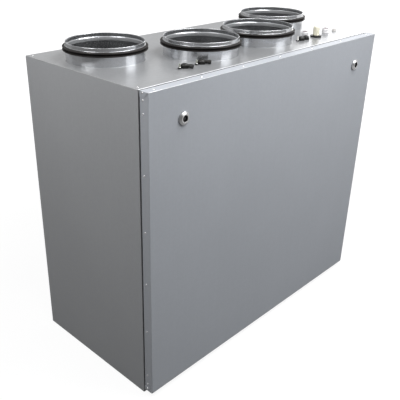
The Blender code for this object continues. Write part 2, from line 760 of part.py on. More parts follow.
def make_fan(side, label):
    """A backward-curved fan wheel over the deck's inlet, hung from a bridge."""
    place = Vector((side * OUTER_SPIGOT_X, OUTER_SPIGOT_Y, DECK_TOP + FIT))
    ring = [
        (INLET_RADIUS + RING_WALL, RING_HEIGHT), (INLET_RADIUS + RING_WALL + RING_LIP, RING_SHEET),
        (INLET_RADIUS + RING_WALL + RING_LIP, 0), (INLET_RADIUS, 0), (INLET_RADIUS, RING_HEIGHT),
    ]
    made = turned(label + "_fan", ring, place, galvanised(), closed=True)

    eye = RING_HEIGHT + RUNNING_GAP
    rim = eye + SHROUD_RISE
    shroud = [
        (FAN_RADIUS, rim + SHROUD_THICK), (FAN_RADIUS, rim), (INLET_RADIUS, eye),
        (INLET_RADIUS, eye + SHROUD_THICK),
    ]
    blade_foot = rim + BLADE_BITE
    plate = blade_foot + BLADE_HEIGHT
    motor_foot = plate + PLATE_THICK
    motor_top = motor_foot + MOTOR_HEIGHT
    wheel = [
        (0, motor_top), (MOTOR_RADIUS, motor_top), (MOTOR_RADIUS, motor_foot), (FAN_RADIUS, motor_foot),
        (FAN_RADIUS, plate), (HUB_RADIUS, plate), (HUB_NOSE, plate - HUB_DEPTH), (0, plate - HUB_DEPTH),
    ]
    turns = [2 * math.pi * number / BLADE_COUNT for number in range(BLADE_COUNT)]
    blades = outlined(label + "_blades", [blade_outline(turn) for turn in turns], blade_foot,
                      plate + PLATE_THICK / 2, "Z", place=place)
    join(made, turned(label + "_wheel", wheel, place))
    join(made, turned(label + "_shroud", shroud, place, closed=True))
    join(made, blades)

    leg = FAN_RADIUS + BRIDGE_GAP
    outside = leg + BRIDGE_THICK
    under = motor_top - BRIDGE_THICK / 2
    toe = INLET_RADIUS + RING_WALL / 2
    foot = FOOT_LIFT + FOOT_THICK
    bridge = [
        (-outside, FOOT_LIFT), (-outside, under + BRIDGE_THICK), (outside, under + BRIDGE_THICK),
        (outside, FOOT_LIFT), (toe, FOOT_LIFT), (toe, foot), (leg, foot), (leg, under), (-leg, under),
        (-leg, foot), (-toe, foot), (-toe, FOOT_LIFT),
    ]
    join(made, outlined(label + "_bridge", [bridge], -BRIDGE_WIDTH / 2, BRIDGE_WIDTH / 2, "X", place=place))


def make_control_box():
    """The terminal box in the right channel, fixed to the partition."""
    x = CHANNEL_INNER + FIT
    top = ROOF_UNDER - BOX_DROP
    box("control_box", (x, FRONT + BOX_SETBACK, top - BOX_HEIGHT),
        (x + BOX_WIDTH, FRONT + BOX_SETBACK + BOX_DEPTH, top), grey_plastic())


def main():
    start_scene()
    make_panels()
    make_spigots()
    make_door_frame()
    carrier = carrier_at("door_slide", (0, DOOR_BACK, DOOR_FLOOR_GAP))
    make_door(carrier)
    make_lock(-1, "left", carrier)
    make_lock(1, "right", carrier)
    make_roof_fittings()
    make_partitions()
    make_exchanger()
    make_filters()
    make_tray()
    make_fan(-1, "left")
    make_fan(1, "right")
    make_control_box()


main()
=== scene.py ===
# %% [markdown]
# # A ventilation cabinet, dressed for its portrait
#
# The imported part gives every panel, spigot and lock at its real size. This
# lesson adds what makes them look like the real thing: rolled zinc, soft
# rubber lips, rivets, hems, and the machinery that shows when the door is
# lifted off. Nothing that the frame holds is moved.

# %% Load the fixed frame
import json
import math

import bmesh
import bpy
from mathutils import Matrix, Vector


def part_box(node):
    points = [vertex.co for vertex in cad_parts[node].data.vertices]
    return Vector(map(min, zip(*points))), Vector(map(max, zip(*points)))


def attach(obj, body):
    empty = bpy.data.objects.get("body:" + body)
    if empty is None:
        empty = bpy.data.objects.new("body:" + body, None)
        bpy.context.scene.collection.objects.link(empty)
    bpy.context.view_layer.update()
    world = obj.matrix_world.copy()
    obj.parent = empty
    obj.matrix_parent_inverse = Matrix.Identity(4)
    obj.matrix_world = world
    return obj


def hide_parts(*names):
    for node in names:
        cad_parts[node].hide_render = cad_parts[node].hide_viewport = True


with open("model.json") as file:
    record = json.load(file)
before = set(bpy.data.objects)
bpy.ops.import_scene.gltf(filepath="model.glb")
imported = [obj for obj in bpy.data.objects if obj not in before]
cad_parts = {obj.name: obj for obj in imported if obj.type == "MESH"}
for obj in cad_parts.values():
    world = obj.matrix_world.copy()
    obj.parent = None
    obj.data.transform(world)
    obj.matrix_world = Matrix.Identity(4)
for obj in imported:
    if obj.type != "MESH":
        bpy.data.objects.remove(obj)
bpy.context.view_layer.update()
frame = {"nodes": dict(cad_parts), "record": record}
nodes = frame["nodes"]
print("nodes in the frame:", len(nodes))

# %% [markdown]
# ## Where things are
#
# All the places below come from the frame, so they follow it if a size
# changes. The floor is at height zero and the front looks towards -Y.

# %% Read the driving places from the frame
MM = 0.001
door_low, door_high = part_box("door_skin")
roof_low, roof_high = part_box("roof_panel")
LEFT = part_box("left_side_panel")[0].x
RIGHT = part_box("right_side_panel")[1].x
FRONT, BACK = roof_low.y, roof_high.y
ROOF = roof_high.z
DOOR_FRONT, DOOR_BACK = door_low.y, door_high.y
DOOR_TOP = door_high.z
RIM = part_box("spigot_1")[1].z
SPIGOTS = []
for number in range(1, 5):
    low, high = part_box("spigot_%d" % number)
    SPIGOTS.append(((low.x + high.x) / 2, (low.y + high.y) / 2))
print("cabinet", round(RIGHT - LEFT, 4), "wide,", round(ROOF, 4), "high, rims at", round(RIM, 4))

# %% [markdown]
# ## Camera
#
# The camera stands about a metre and a half from the left front corner and as
# high above the floor, and looks down by 26 degrees. The photo is a crop of a
# larger picture, so the lens is shifted a little.

# %% Camera
CAMERA_PLACE = (-1.588, -1.407, 1.480)
CAMERA_HEADING = 45.70
CAMERA_DIP = 25.97
CAMERA_ROLL = 0.774
LENS = 53.06
FILM_WIDTH = 36
SHIFT = (0.0455, -0.0129)

lens = bpy.data.cameras.new("portrait_lens")
lens.lens = LENS
lens.sensor_width = FILM_WIDTH
lens.shift_x, lens.shift_y = SHIFT
camera = bpy.data.objects.new("portrait_camera", lens)
bpy.context.scene.collection.objects.link(camera)
camera.matrix_world = (
    Matrix.Translation(CAMERA_PLACE)
    @ Matrix.Rotation(math.radians(-CAMERA_HEADING), 4, "Z")
    @ Matrix.Rotation(math.radians(90 - CAMERA_DIP), 4, "X")
    @ Matrix.Rotation(math.radians(CAMERA_ROLL), 4, "Z")
)
bpy.context.scene.camera = camera
print("lens", LENS, "mm, looking down", CAMERA_DIP, "degrees")

# %% [markdown]
# ## A small language for finishes
#
# A finish is a graph of nodes, and sums are easier to read as sums. Field
# wraps one socket, and Python's own operators add the Math nodes. Graph has
# one method for any other node, and Finish is the graph of one material.

# %% Field, a number that varies over a surface
class Field:
    def __init__(self, finish, socket):
        self.finish = finish
        self.socket = socket

    def combine(self, operation, first, second):
        made = self.finish.node("ShaderNodeMath", {"operation": operation}, {0: first, 1: second})
        return Field(self.finish, made.outputs[0])

    def __add__(self, other):
        return self.combine("ADD", self, other)

    def __radd__(self, other):
        return self.combine("ADD", other, self)

    def __sub__(self, other):
        return self.combine("SUBTRACT", self, other)

    def __rsub__(self, other):
        return self.combine("SUBTRACT", other, self)

    def __mul__(self, other):
        return self.combine("MULTIPLY", self, other)

    def __rmul__(self, other):
        return self.combine("MULTIPLY", other, self)

    def __pow__(self, other):
        return self.combine("POWER", self, other)

    def ramp(self, low, high, to_low=0.0, to_high=1.0):
        """A smooth step between two values."""
        made = self.finish.node("ShaderNodeMapRange", {"interpolation_type": "SMOOTHSTEP"},
                                {0: self, 1: low, 2: high, 3: to_low, 4: to_high})
        return Field(self.finish, made.outputs[0])


# %% Graph, a tree of nodes
class Graph:
    def __init__(self, tree):
        self.tree = tree

    def node(self, kind, settings=None, feeds=None):
        """Any node: its settings first, then what its sockets get."""
        made = self.tree.nodes.new(kind)
        for key, value in (settings or {}).items():
            setattr(made, key, value)
        for key, value in (feeds or {}).items():
            self.feed(made.inputs[key], value)
        return made

    def feed(self, socket, value):
        if isinstance(value, Field):
            value = value.socket
        if isinstance(value, bpy.types.NodeSocket):
            self.tree.links.new(value, socket)
        else:
            socket.default_value = value


# %% Finish, one material
FINISHES = {}


class Finish(Graph):
    def __init__(self, name, roughness=0.5, metallic=0.0, specular=0.5):
        self.material = bpy.data.materials.new(name)
        FINISHES[name] = self.material
        self.material.use_nodes = True
        super().__init__(self.material.node_tree)
        self.shader = self.tree.nodes["Principled BSDF"]
        self.set("Roughness", roughness)
        self.set("Metallic", metallic)
        self.set("Specular IOR Level", specular)
        self.place = self.node("ShaderNodeTexCoord").outputs["Object"]

    def set(self, name, value):
        self.feed(self.shader.inputs[name], value)

    def stretched(self, scale, turn=(0, 0, 0)):
        """The object's own coordinates, stretched, so that a pattern gets a grain."""
        made = self.node("ShaderNodeMapping", {"vector_type": "POINT"},
                         {"Vector": self.place, "Scale": scale, "Rotation": turn})
        return made.outputs[0]

    def axis(self, letter):
        parts = self.node("ShaderNodeSeparateXYZ", None, {0: self.place})
        return Field(self, parts.outputs[letter])

    def noise(self, scale, detail=2.0, roughness=0.5, vector=None, distortion=0.0):
        made = self.node("ShaderNodeTexNoise", None, {
            "Vector": vector or self.place, "Scale": scale, "Detail": detail,
            "Roughness": roughness, "Distortion": distortion})
        return Field(self, made.outputs["Fac"])

    def cell_tone(self, scale):
        """One random number for each cell of a crystal pattern."""
        made = self.node("ShaderNodeTexVoronoi", None, {"Vector": self.place, "Scale": scale})
        parts = self.node("ShaderNodeSeparateColor", None, {0: made.outputs["Color"]})
        return Field(self, parts.outputs[0])

    def blend(self, amount, first, second):
        """A mix of two colours."""
        made = self.node("ShaderNodeMix", {"data_type": "RGBA"})
        self.feed(made.inputs[0], amount)
        self.feed(made.inputs[6], first)
        self.feed(made.inputs[7], second)
        return made.outputs[2]

    def relief(self, height, strength, distance):
        """Small hills, as deep as the distance, that only turn the light."""
        made = self.node("ShaderNodeBump", None,
                         {"Strength": strength, "Distance": distance, "Height": height})
        self.set("Normal", made.outputs[0])


def grey(value, blue=0.0):
    """A neutral colour, or one a little towards blue."""
    return (value * (1 - blue / 2), value, value * (1 + blue), 1.0)


# %% [markdown]
# ## Zinc
#
# The panels are steel sheet with a thin coat of zinc, rolled so smooth that its
# crystals hardly show: what is left is a faint cloud, and streaks along the
# sheet that are finer than a hair. The door and the sides are matt and dusty.
# The roof and the spigots are brighter, so they mirror what is near.

# %% The matt sheet of the cabinet's sides and door
DOWN_THE_SHEET = (60, 60, 1.0)


def matt_sheet(name, base, blue):
    made = Finish(name, metallic=0.10, specular=0.12)
    grain = made.noise(5.0, 4, 0.6, made.stretched(DOWN_THE_SHEET))
    crystals = made.cell_tone(150.0)
    cloud = made.noise(2.2, 3, 0.5)
    tone = (cloud * 0.60 + grain * 0.28 + crystals * 0.12).ramp(0.30, 0.70)
    made.set("Base Color", made.blend(tone, grey(base * 0.965, blue), grey(base * 1.035, blue)))
    made.set("Roughness", 0.42 + cloud * 0.08 + crystals * 0.02)
    made.relief(crystals * 0.4 + grain * 0.6, 0.03, 0.1 * MM)


matt_sheet("casing_sheet", 0.36, 0.030)
matt_sheet("door_sheet", 0.405, 0.072)


# %% The bright sheet of the roof, the spigots and the inside
def bright_sheet(name, base, metallic, roughness, spangle=110.0, along=(2.0, 30.0, 30.0), bends=(5, 5, 5),
                 depth=0.1 * MM):
    """Spangle is the crystals' scale, along the streaks' and bends that of the sheet's waves."""
    made = Finish(name, metallic=metallic, specular=0.12)
    bend = made.noise(1.0, 2, 0.5, made.stretched(bends))
    crystals = made.cell_tone(spangle)
    needles = made.noise(12.0, 5, 0.6, made.stretched(along))
    cloud = made.noise(3.0, 3, 0.5)
    tone = (crystals * 0.14 + needles * 0.36 + cloud * 0.50).ramp(0.25, 0.75)
    made.set("Base Color", made.blend(tone, grey(base * 0.90, 0.02), grey(base * 1.10, 0.03)))
    made.set("Roughness", roughness + needles * 0.08 + cloud * 0.06 - 0.07)
    made.relief(bend * 0.9 + needles * 0.1, 1.0, depth)


bright_sheet("roof_zinc", 0.33, 0.52, 0.31)
bright_sheet("spigot_zinc", 0.62, 0.94, 0.20, 160.0, (12.0, 12.0, 1.0), (26, 26, 1.5), 2.5 * MM)
bright_sheet("inner_sheet", 0.42, 0.60, 0.36)
# A pale copy of the roof's zinc for the front hem: a painted highlight.
bright_sheet("hem_painted_highlight", 0.70, 0.40, 0.40)
# A darker copy of the spigot's zinc for the inside of each duct below its band: painted shade.
bright_sheet("duct_painted_shade", 0.34, 0.94, 0.26)
bright_sheet("exchanger_aluminium", 0.60, 0.80, 0.32, 90.0, (2.0, 60.0, 60.0), (4, 4, 4))
print("sheet finishes:", ", ".join(FINISHES))

# %% [markdown]
# ## Rubber, plastic, cloth and plating
#
# The lips, nuts and sleeves are moulded, so they have a fine orange peel and
# hold dust in soft clouds. The filters are felted fibre. Locks and rivets are
# plated metal with fine wear. The same bright plating on the upward folds of
# the door and the roof is a painted highlight. Each kind is one function, and
# its pieces differ by a few numbers.

# %% Rubber and plastics
def moulded(name, dark, light, roughness, specular=0.4):
    """Fine orange peel, and dust in a cloudy pattern, between two colours."""
    made = Finish(name, specular=specular)
    peel = made.noise(300.0, 3, 0.6)
    dust = made.noise(24.0, 4, 0.6)
    tone = (dust * 0.7 + peel * 0.3).ramp(0.35, 0.75)
    made.set("Base Color", made.blend(tone, (*dark, 1), (*light, 1)))
    made.set("Roughness", roughness + dust * 0.16 - 0.08)
    made.relief(peel, 0.25, 0.15 * MM)


moulded("black_rubber", (0.007, 0.006, 0.006), (0.020, 0.017, 0.015), 0.55, 0.18)
moulded("black_plastic", (0.007, 0.007, 0.007), (0.022, 0.021, 0.019), 0.40, 0.30)
moulded("cream_plastic", (0.66, 0.63, 0.50), (0.80, 0.77, 0.64), 0.40)
moulded("white_plastic", (0.72, 0.71, 0.67), (0.84, 0.83, 0.80), 0.40)
moulded("grey_plastic", (0.62, 0.61, 0.62), (0.67, 0.66, 0.66), 0.45)
moulded("smoke_plastic", (0.20, 0.21, 0.18), (0.30, 0.31, 0.27), 0.40)
moulded("cap_grey", (0.17, 0.14, 0.15), (0.26, 0.22, 0.23), 0.50)
moulded("lock_black", (0.006, 0.006, 0.006), (0.02, 0.02, 0.02), 0.45)


# %% Filter cloth
def cloth(name, dark, light):
    """Felted fibres, laid at random."""
    made = Finish(name, specular=0.10)
    fibres = made.noise(60.0, 6, 0.7, made.stretched((30, 4, 30), (0.3, 0.5, 0.2)), distortion=1.5)
    dust = made.noise(9.0, 3, 0.5)
    tone = (fibres * 0.6 + dust * 0.4).ramp(0.3, 0.7)
    made.set("Base Color", made.blend(tone, (*dark, 1), (*light, 1)))
    made.set("Roughness", 0.86 + dust * 0.1)
    made.relief(fibres, 0.6, 0.4 * MM)


cloth("filter_cloth", (0.62, 0.62, 0.61), (0.78, 0.78, 0.76))
FINISHES["filter_media"] = FINISHES["filter_cloth"]


# %% Plated metals
def plated(name, base, roughness, scratch=0.06):
    """A polished plating with fine wear."""
    made = Finish(name, metallic=1.0)
    wear = made.noise(260.0, 4, 0.7, made.stretched((1, 1, 0.15)))
    cloud = made.noise(60.0, 2, 0.5)
    made.set("Base Color", made.blend(cloud.ramp(0.3, 0.7), grey(base * 0.94), grey(base * 1.04)))
    made.set("Roughness", roughness + wear * scratch)
    made.relief(wear, 0.04, 0.1 * MM)


plated("lock_chrome", 0.54, 0.25)
plated("rivet_zinc", 0.82, 0.16)
# The folds' bright plating is a painted highlight, given to the upward faces of the door's and the roof's
# folds.
plated("fold_painted_highlight", 0.74, 0.30)
plated("fan_metal", 0.56, 0.34, 0.04)
print("finishes:", len(FINISHES) - 1)

# %% Dress the frame's own nodes
SLOTS = set()
for part in frame["record"]["subparts"]:
    node = nodes[part["node"]]
    node.data.materials.clear()
    node.data.materials.append(FINISHES[part["material_slot"]])
    SLOTS.add(part["material_slot"])
nodes["door_skin"].data.materials[0] = FINISHES["door_sheet"]
print("dressed", len(nodes), "nodes in", len(SLOTS), "finishes")

# %% [markdown]
# ## Tools for modelling
#
# Every new piece below is modelled with the ordinary mesh operators, in edit
# mode, at its real size. An operator acts on all that is selected, so these
# helpers first choose what it works on, by place or by normal. At the end a
# piece's place, turn and scale are applied, which leaves its object at the
# origin, as the frame's own shapes are.

# %% Choosing what an operator works on
def alone(thing):
    """Leaves this object as the only selected one, in object mode."""
    if bpy.context.mode != "OBJECT":
        bpy.ops.object.mode_set(mode="OBJECT")
    bpy.ops.object.select_all(action="DESELECT")
    thing.select_set(True)
    bpy.context.view_layer.objects.active = thing


def edit(thing):
    """Opens a piece in edit mode, all of it selected."""
    alone(thing)
    bpy.ops.object.mode_set(mode="EDIT")
    bpy.ops.mesh.select_mode(type="FACE")
    bpy.ops.mesh.select_all(action="SELECT")


def choose(thing, kind, test):
    """In edit mode, selects the parts of the mesh that pass a test."""
    bpy.ops.mesh.select_mode(type=kind)
    bpy.ops.mesh.select_all(action="DESELECT")
    shape = bmesh.from_edit_mesh(thing.data)
    parts = {"VERT": shape.verts, "EDGE": shape.edges, "FACE": shape.faces}[kind]
    chosen = [part for part in parts if test(part)]
    for part in chosen:
        part.select_set(True)
    shape.select_flush_mode()
    bmesh.update_edit_mesh(thing.data)
    return len(chosen)


# %% Handing a finished piece to the frame
BODIES = frame["record"]["behaviour"]["bodies"]
BODY_OF = {node: body for body, names in BODIES.items() for node in names}


def finished(thing, name, look, node=None, body=None, smooth=35, place=Matrix()):
    """Names a piece, gives it its place, finish and body. Large faces keep their shading flat."""
    thing.matrix_world = place
    alone(thing)
    bpy.ops.object.transform_apply()
    bpy.ops.object.shade_smooth_by_angle(angle=math.radians(smooth))
    flatten = thing.modifiers.new("flatten", "WEIGHTED_NORMAL")
    flatten.keep_sharp = True
    bpy.ops.object.modifier_apply(modifier="flatten")
    thing.name = name
    thing.data.materials.clear()
    thing.data.materials.append(FINISHES[look])
    if node:
        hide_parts(node)
    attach(thing, body or BODY_OF[node])
    return thing


def brighten(thing, look, test):
    """Gives some faces of a finished piece another finish: a painted highlight on a fold, painted shade in a
    duct or a groove, or a part's own colour.
    """
    thing.data.materials.append(FINISHES[look])
    for face in thing.data.polygons:
        if test(face):
            face.material_index = len(thing.data.materials) - 1


# %% Boxes, turned shapes and arcs
def block(low, high):
    """A box between two corners."""
    low, high = Vector(low), Vector(high)
    bpy.ops.mesh.primitive_cube_add(size=1, location=(low + high) / 2)
    made = bpy.context.object
    made.scale = high - low
    bpy.ops.object.transform_apply()
    return made


def turned(profile, steps=96, loop=False):
    """Draws a profile of (radius, height) points and spins it round the upright axis."""
    bpy.ops.mesh.primitive_plane_add(size=MM)
    made = bpy.context.object
    bpy.ops.object.mode_set(mode="EDIT")
    bpy.ops.mesh.select_mode(type="VERT")
    bpy.ops.mesh.merge(type="CENTER")
    radius, height = profile[0]
    bpy.ops.transform.translate(value=(radius, 0, height))
    for (r0, h0), (r1, h1) in zip(profile, profile[1:]):
        bpy.ops.mesh.extrude_vertices_move(TRANSFORM_OT_translate={"value": (r1 - r0, 0, h1 - h0)})
    if loop:
        choose(made, "VERT", lambda v: len(v.link_edges) == 1)
        bpy.ops.mesh.edge_face_add()
    bpy.ops.mesh.select_all(action="SELECT")
    bpy.ops.mesh.spin(steps=steps, angle=math.tau, center=(0, 0, 0), axis=(0, 0, 1))
    bpy.ops.mesh.select_all(action="SELECT")
    bpy.ops.mesh.remove_doubles(threshold=0.01 * MM)
    bpy.ops.mesh.normals_make_consistent(inside=False)
    bpy.ops.object.mode_set(mode="OBJECT")
    return made


def arc(radius, height, size, start, end, count=6):
    """Points of a round corner of a profile, its angles in degrees."""
    points = []
    for step in range(count + 1):
        angle = math.radians(start + (end - start) * step / count)
        points.append((radius + size * math.cos(angle), height + size * math.sin(angle)))
    return points


# %% Joins, copies and round creases
FACING = {
    "up": Matrix(),
    "left": Matrix.Rotation(math.radians(-90), 4, "Y"),
    "right": Matrix.Rotation(math.radians(90), 4, "Y"),
    "front": Matrix.Rotation(math.radians(90), 4, "X"),
}


def at(place, facing="up"):
    """The place of a copy, and the way that its top looks."""
    return Matrix.Translation(place) @ FACING[facing]


def joined(things):
    """Joins modelled pieces into one."""
    alone(things[0])
    for thing in things[1:]:
        thing.select_set(True)
    bpy.ops.object.join()
    return things[0]


def copied(model, places):
    """Copies a modelled piece, with a mesh of its own, to each place, and joins the copies."""
    made = []
    for place in places:
        alone(model)
        bpy.ops.object.duplicate(linked=False)
        copy = bpy.context.object
        copy.matrix_world = place
        made.append(copy)
    whole = joined(made)
    bpy.ops.object.transform_apply()
    return whole


def taken_from(node_name):
    """A new piece that starts as a copy of one of the frame's shapes."""
    node = nodes[node_name]
    made = bpy.data.objects.new(node_name + "_copy", node.data.copy())
    bpy.context.scene.collection.objects.link(made)
    made.matrix_world = node.matrix_world
    edit(made)
    bpy.ops.mesh.remove_doubles(threshold=0.01 * MM)
    bpy.ops.mesh.dissolve_limited(angle_limit=math.radians(2))
    bpy.ops.object.mode_set(mode="OBJECT")
    bpy.ops.object.transform_apply()
    return made


def soften(thing, width, segments=2, angle=40):
    """Rounds every crease of a piece a little."""
    alone(thing)
    rounding = thing.modifiers.new("rounding", "BEVEL")
    rounding.width = width
    rounding.segments = segments
    rounding.limit_method = "ANGLE"
    rounding.angle_limit = math.radians(angle)
    bpy.ops.object.modifier_apply(modifier="rounding")
    return thing


def rounded(node, name, look, width, segments=2, angle=40, smooth=35):
    """A node's own shape with round creases, shown in place of the node."""
    copy = soften(taken_from(node), width, segments, angle)
    return finished(copy, name, look, node=node, smooth=smooth)


# %% [markdown]
# ## Folded panels
#
# Each panel of the cabinet is sheet folded in a press brake, which leaves a
# round edge of a millimetre or so. That round edge is what draws a thin bright
# line down each corner, so the panels are copied and their creases rounded.

# %% Round the folds of the plain panels
FOLD = 1.2 * MM
PANELS = ("left_side_panel", "right_side_panel", "back_panel", "base_panel")
for name in PANELS:
    rounded(name, name + "_folded", "casing_sheet", FOLD, 3)
THIN_FOLD = 0.5 * MM
SHEETS = ("left_partition", "right_partition", "upper_partition", "lower_partition", "left_fan_deck",
          "right_fan_deck", "catch_left", "catch_right", "drain_tray", "door_inner_panel")
for name in SHEETS:
    rounded(name, name + "_folded", "inner_sheet", THIN_FOLD)
rounded("door_ledge", "door_ledge_folded", "casing_sheet", THIN_FOLD)
print("folded panels:", len(PANELS) + len(SHEETS) + 1)

# %% [markdown]
# ## The door pan
#
# The door is one sheet, folded back on all four sides, with its corners closed
# by tabs riveted to the side folds. Its folds are larger than the cabinet's,
# about two and a half millimetres round outside.

# %% Door skin
DOOR_FOLD = 2.4 * MM
skin = taken_from("door_skin")
edit(skin)


def on_front_fold(edge):
    """The long edges between the door's front and its four flanges."""
    a, b = (vertex.co for vertex in edge.verts)
    if max(a.y, b.y) > DOOR_FRONT + 0.1 * MM:
        return False
    return (a - b).length > 0.3


folds = choose(skin, "EDGE", on_front_fold)
bpy.ops.mesh.bevel(offset=DOOR_FOLD, segments=5, affect="EDGES", profile=0.5)
soften(skin, 0.35 * MM)
finished(skin, "door_pan", "door_sheet", node="door_skin")
# The door's top fold, where it faces up and forwards, gets the bright plating: a painted highlight along its
# top edge.
brighten(skin, "fold_painted_highlight", lambda f: f.normal.z > 0.3 and f.normal.y < -0.3)
print("door folds rounded:", folds)

# %% [markdown]
# ## The roof sheet
#
# The roof is a tray of bright sheet. Its front edge is hemmed: the sheet runs a
# little past the cabinet and doubles back under itself. Its rounded fold catches
# some light, and it is given a much paler zinc than the roof, a painted
# highlight that makes the line bright. The roof's upward folds get a painted
# highlight too. Between the hem and the door lies the top of the rubber door
# seal, the thin dark line behind the door's top.

# %% Roof panel and its front hem
ROOF_FOLD = 1.6 * MM
roof = rounded("roof_panel", "roof_sheet", "roof_zinc", ROOF_FOLD, 4)
# The roof's fold faces that lean upwards get the bright plating: a painted highlight along its edges.
brighten(roof, "fold_painted_highlight", lambda f: 0.2 < f.normal.z < 0.95)
HEM_REACH = 1.3 * MM
HEM_THICK = 1.2 * MM
HEM_FOLD = 0.55 * MM
HEM_DEPTH, HEM_RISE, HEM_INSET = 3 * MM, 0.4 * MM, 1 * MM
hem = block((LEFT + HEM_INSET, FRONT - HEM_REACH, ROOF - HEM_THICK),
            (RIGHT - HEM_INSET, FRONT + HEM_DEPTH, ROOF + HEM_RISE))
edit(hem)
choose(hem, "EDGE", lambda e: all(v.co.y < FRONT - 1 * MM for v in e.verts))
bpy.ops.mesh.bevel(offset=HEM_FOLD, segments=4, affect="EDGES")
# The hem's pale zinc is a painted highlight.
finished(hem, "roof_front_hem", "hem_painted_highlight", body="casing")
LIP_INSET = 6 * MM
lip = block((LEFT + LIP_INSET, DOOR_BACK + 0.3 * MM, DOOR_TOP - 4 * MM),
            (RIGHT - LIP_INSET, FRONT - HEM_REACH - 0.1 * MM, DOOR_TOP - 0.2 * MM))
finished(soften(lip, 0.5 * MM), "door_seal_lip", "black_rubber", body="casing")
print("the front hem reaches out", round(HEM_REACH / MM, 1), "mm")

# %% [markdown]
# ## Rivets
#
# Blind rivets hold the corner tabs and the door's inner frame. A blind rivet
# is a low dome with a dimple where its pin snapped off.

# %% A blind rivet
RIVET_RADIUS = 3.2 * MM
RIVET_RISE = 1.1 * MM
PIN_RADIUS = 0.9 * MM
rivet = turned([
    (0, 0.55 * MM), (PIN_RADIUS * 0.9, 0.55 * MM), (PIN_RADIUS, 1.0 * MM), (1.5 * MM, RIVET_RISE),
    (2.4 * MM, 0.88 * MM), (2.9 * MM, 0.5 * MM), (RIVET_RADIUS, 0.1 * MM), (RIVET_RADIUS, -0.1 * MM),
    (0, -0.1 * MM),
], steps=20)


def riveted(name, places, facing, body):
    """A row of rivets, their heads towards one side."""
    row = copied(rivet, [at(place, facing) for place in places])
    finished(row, name, "rivet_zinc", body=body, smooth=50)


# %% Rows of rivets
SIDE_RIVETS_BELOW_TOP = [0.0045, 0.025, 0.063, 0.2425, 0.423, 0.604, 0.7836, 0.964, 1.001, 1.019]
SIDE_RIVET_BACK = 22 * MM
TOP_RIVET_FIRST = 35 * MM
TOP_RIVET_PITCH = 186 * MM
TOP_RIVET_COUNT = 7
TOP_RIVET_BACK = 18.5 * MM
TAB_RISE = 1.0 * MM
TOP_TAB, FOOT_TAB = 14 * MM, 1015 * MM
for side, edge, way in (("left", LEFT, -1), ("right", RIGHT, 1)):
    spots = []
    for below in SIDE_RIVETS_BELOW_TOP:
        rise = TAB_RISE if below < TOP_TAB or below > FOOT_TAB else 0
        spots.append((edge + way * rise, DOOR_FRONT + SIDE_RIVET_BACK, DOOR_TOP - below))
    riveted("door_%s_rivets" % side, spots, side, "door")
line = [LEFT + TOP_RIVET_FIRST + TOP_RIVET_PITCH * k for k in range(TOP_RIVET_COUNT)]
riveted("door_top_rivets", [(x, DOOR_FRONT + TOP_RIVET_BACK, DOOR_TOP) for x in line], "up", "door")
CORNER_INSET = 17 * MM
ROOF_RIVET_ROWS = (FRONT + 21 * MM, BACK - 16 * MM)
corners = [(x, y, ROOF) for x in (LEFT + CORNER_INSET, RIGHT - CORNER_INSET) for y in ROOF_RIVET_ROWS]
riveted("roof_rivets", corners, "up", "casing")
print("rivets on each side of the door:", len(SIDE_RIVETS_BELOW_TOP))

# %% [markdown]
# ## Duct spigots
#
# A spigot is a strip of bright sheet, seamed into a tube. Two small ridges
# rolled into it hold the rubber between them, and its rim is curled inwards so
# that it can't cut a hand. The frame's spigot has the groove and the flange, so
# the finer one is turned at the same places.

# %% Sizes of a spigot
low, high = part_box("spigot_1")
FLANGE_FOOT = low.z
OUTER = 125 * MM
SHEET = 0.9 * MM
seal_low, seal_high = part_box("spigot_seal_1")
SEAL_LOW, SEAL_HIGH = seal_low.z, seal_high.z
LIP_RADIUS = (seal_high.x - seal_low.x) / 2
BED = 2.0 * MM
FLANGE_RADIUS = (high.x - low.x) / 2
GROOVE_TOP = SEAL_HIGH + 3.0 * MM
GROOVE_FOOT = SEAL_LOW + 1.5 * MM
CURL = 0.9 * MM
RIDGE = 0.8 * MM
FLANGE_SHEET = 0.15 * MM
TAPER = 0.4 * MM
print("groove", round((GROOVE_TOP - GROOVE_FOOT) / MM, 1), "mm high")


# %% Spigot tubes
def spigot_profile():
    """The outer side from the rim down, then the inner side back up."""
    outside = arc(OUTER - TAPER - CURL, RIM - CURL, CURL, 180, 0, 8)
    outside += arc(OUTER, GROOVE_TOP + RIDGE, RIDGE, 90, -50)
    outside += [(OUTER - BED, GROOVE_TOP - 0.6 * MM), (OUTER - BED, GROOVE_FOOT + 0.6 * MM)]
    outside += arc(OUTER, GROOVE_FOOT - RIDGE, RIDGE, 50, -90)
    outside += [(OUTER, ROOF + 2.0 * MM), (OUTER, FLANGE_FOOT + FLANGE_SHEET),
                (FLANGE_RADIUS, FLANGE_FOOT + FLANGE_SHEET), (FLANGE_RADIUS, FLANGE_FOOT)]
    inner = OUTER - SHEET
    inside = [(inner, FLANGE_FOOT), (inner, GROOVE_FOOT + 2.0 * MM), (inner - BED, GROOVE_FOOT + 4.0 * MM),
              (inner - BED, GROOVE_TOP - 2.4 * MM), (inner - BED * 0.6, GROOVE_TOP - 1.3 * MM),
              (inner, GROOVE_TOP - 0.3 * MM), (inner, RIM - 4.0 * MM),
              (OUTER - TAPER - 2 * CURL, RIM - 3.0 * MM)]
    return outside + inside


tube = turned(spigot_profile(), steps=144, loop=True)
seam = block((-3 * MM, -OUTER - 0.7 * MM, ROOF + 0.5 * MM), (3 * MM, -OUTER + 0.2 * MM, SEAL_LOW - 3 * MM))
edit(seam)
choose(seam, "EDGE", lambda e: all(v.co.y < -OUTER for v in e.verts))
bpy.ops.mesh.bevel(offset=0.5 * MM, segments=3, affect="EDGES")
SEAM_TURNS = (-152, 160, -20, 200)
BAND_FOOT, BAND_TOP = GROOVE_FOOT + 1.0 * MM, GROOVE_TOP - 2.0 * MM


def within(face, axis):
    """Is this face on the inner side of the tube?"""
    return (face.center.xy - axis).length < OUTER - 0.5 * MM


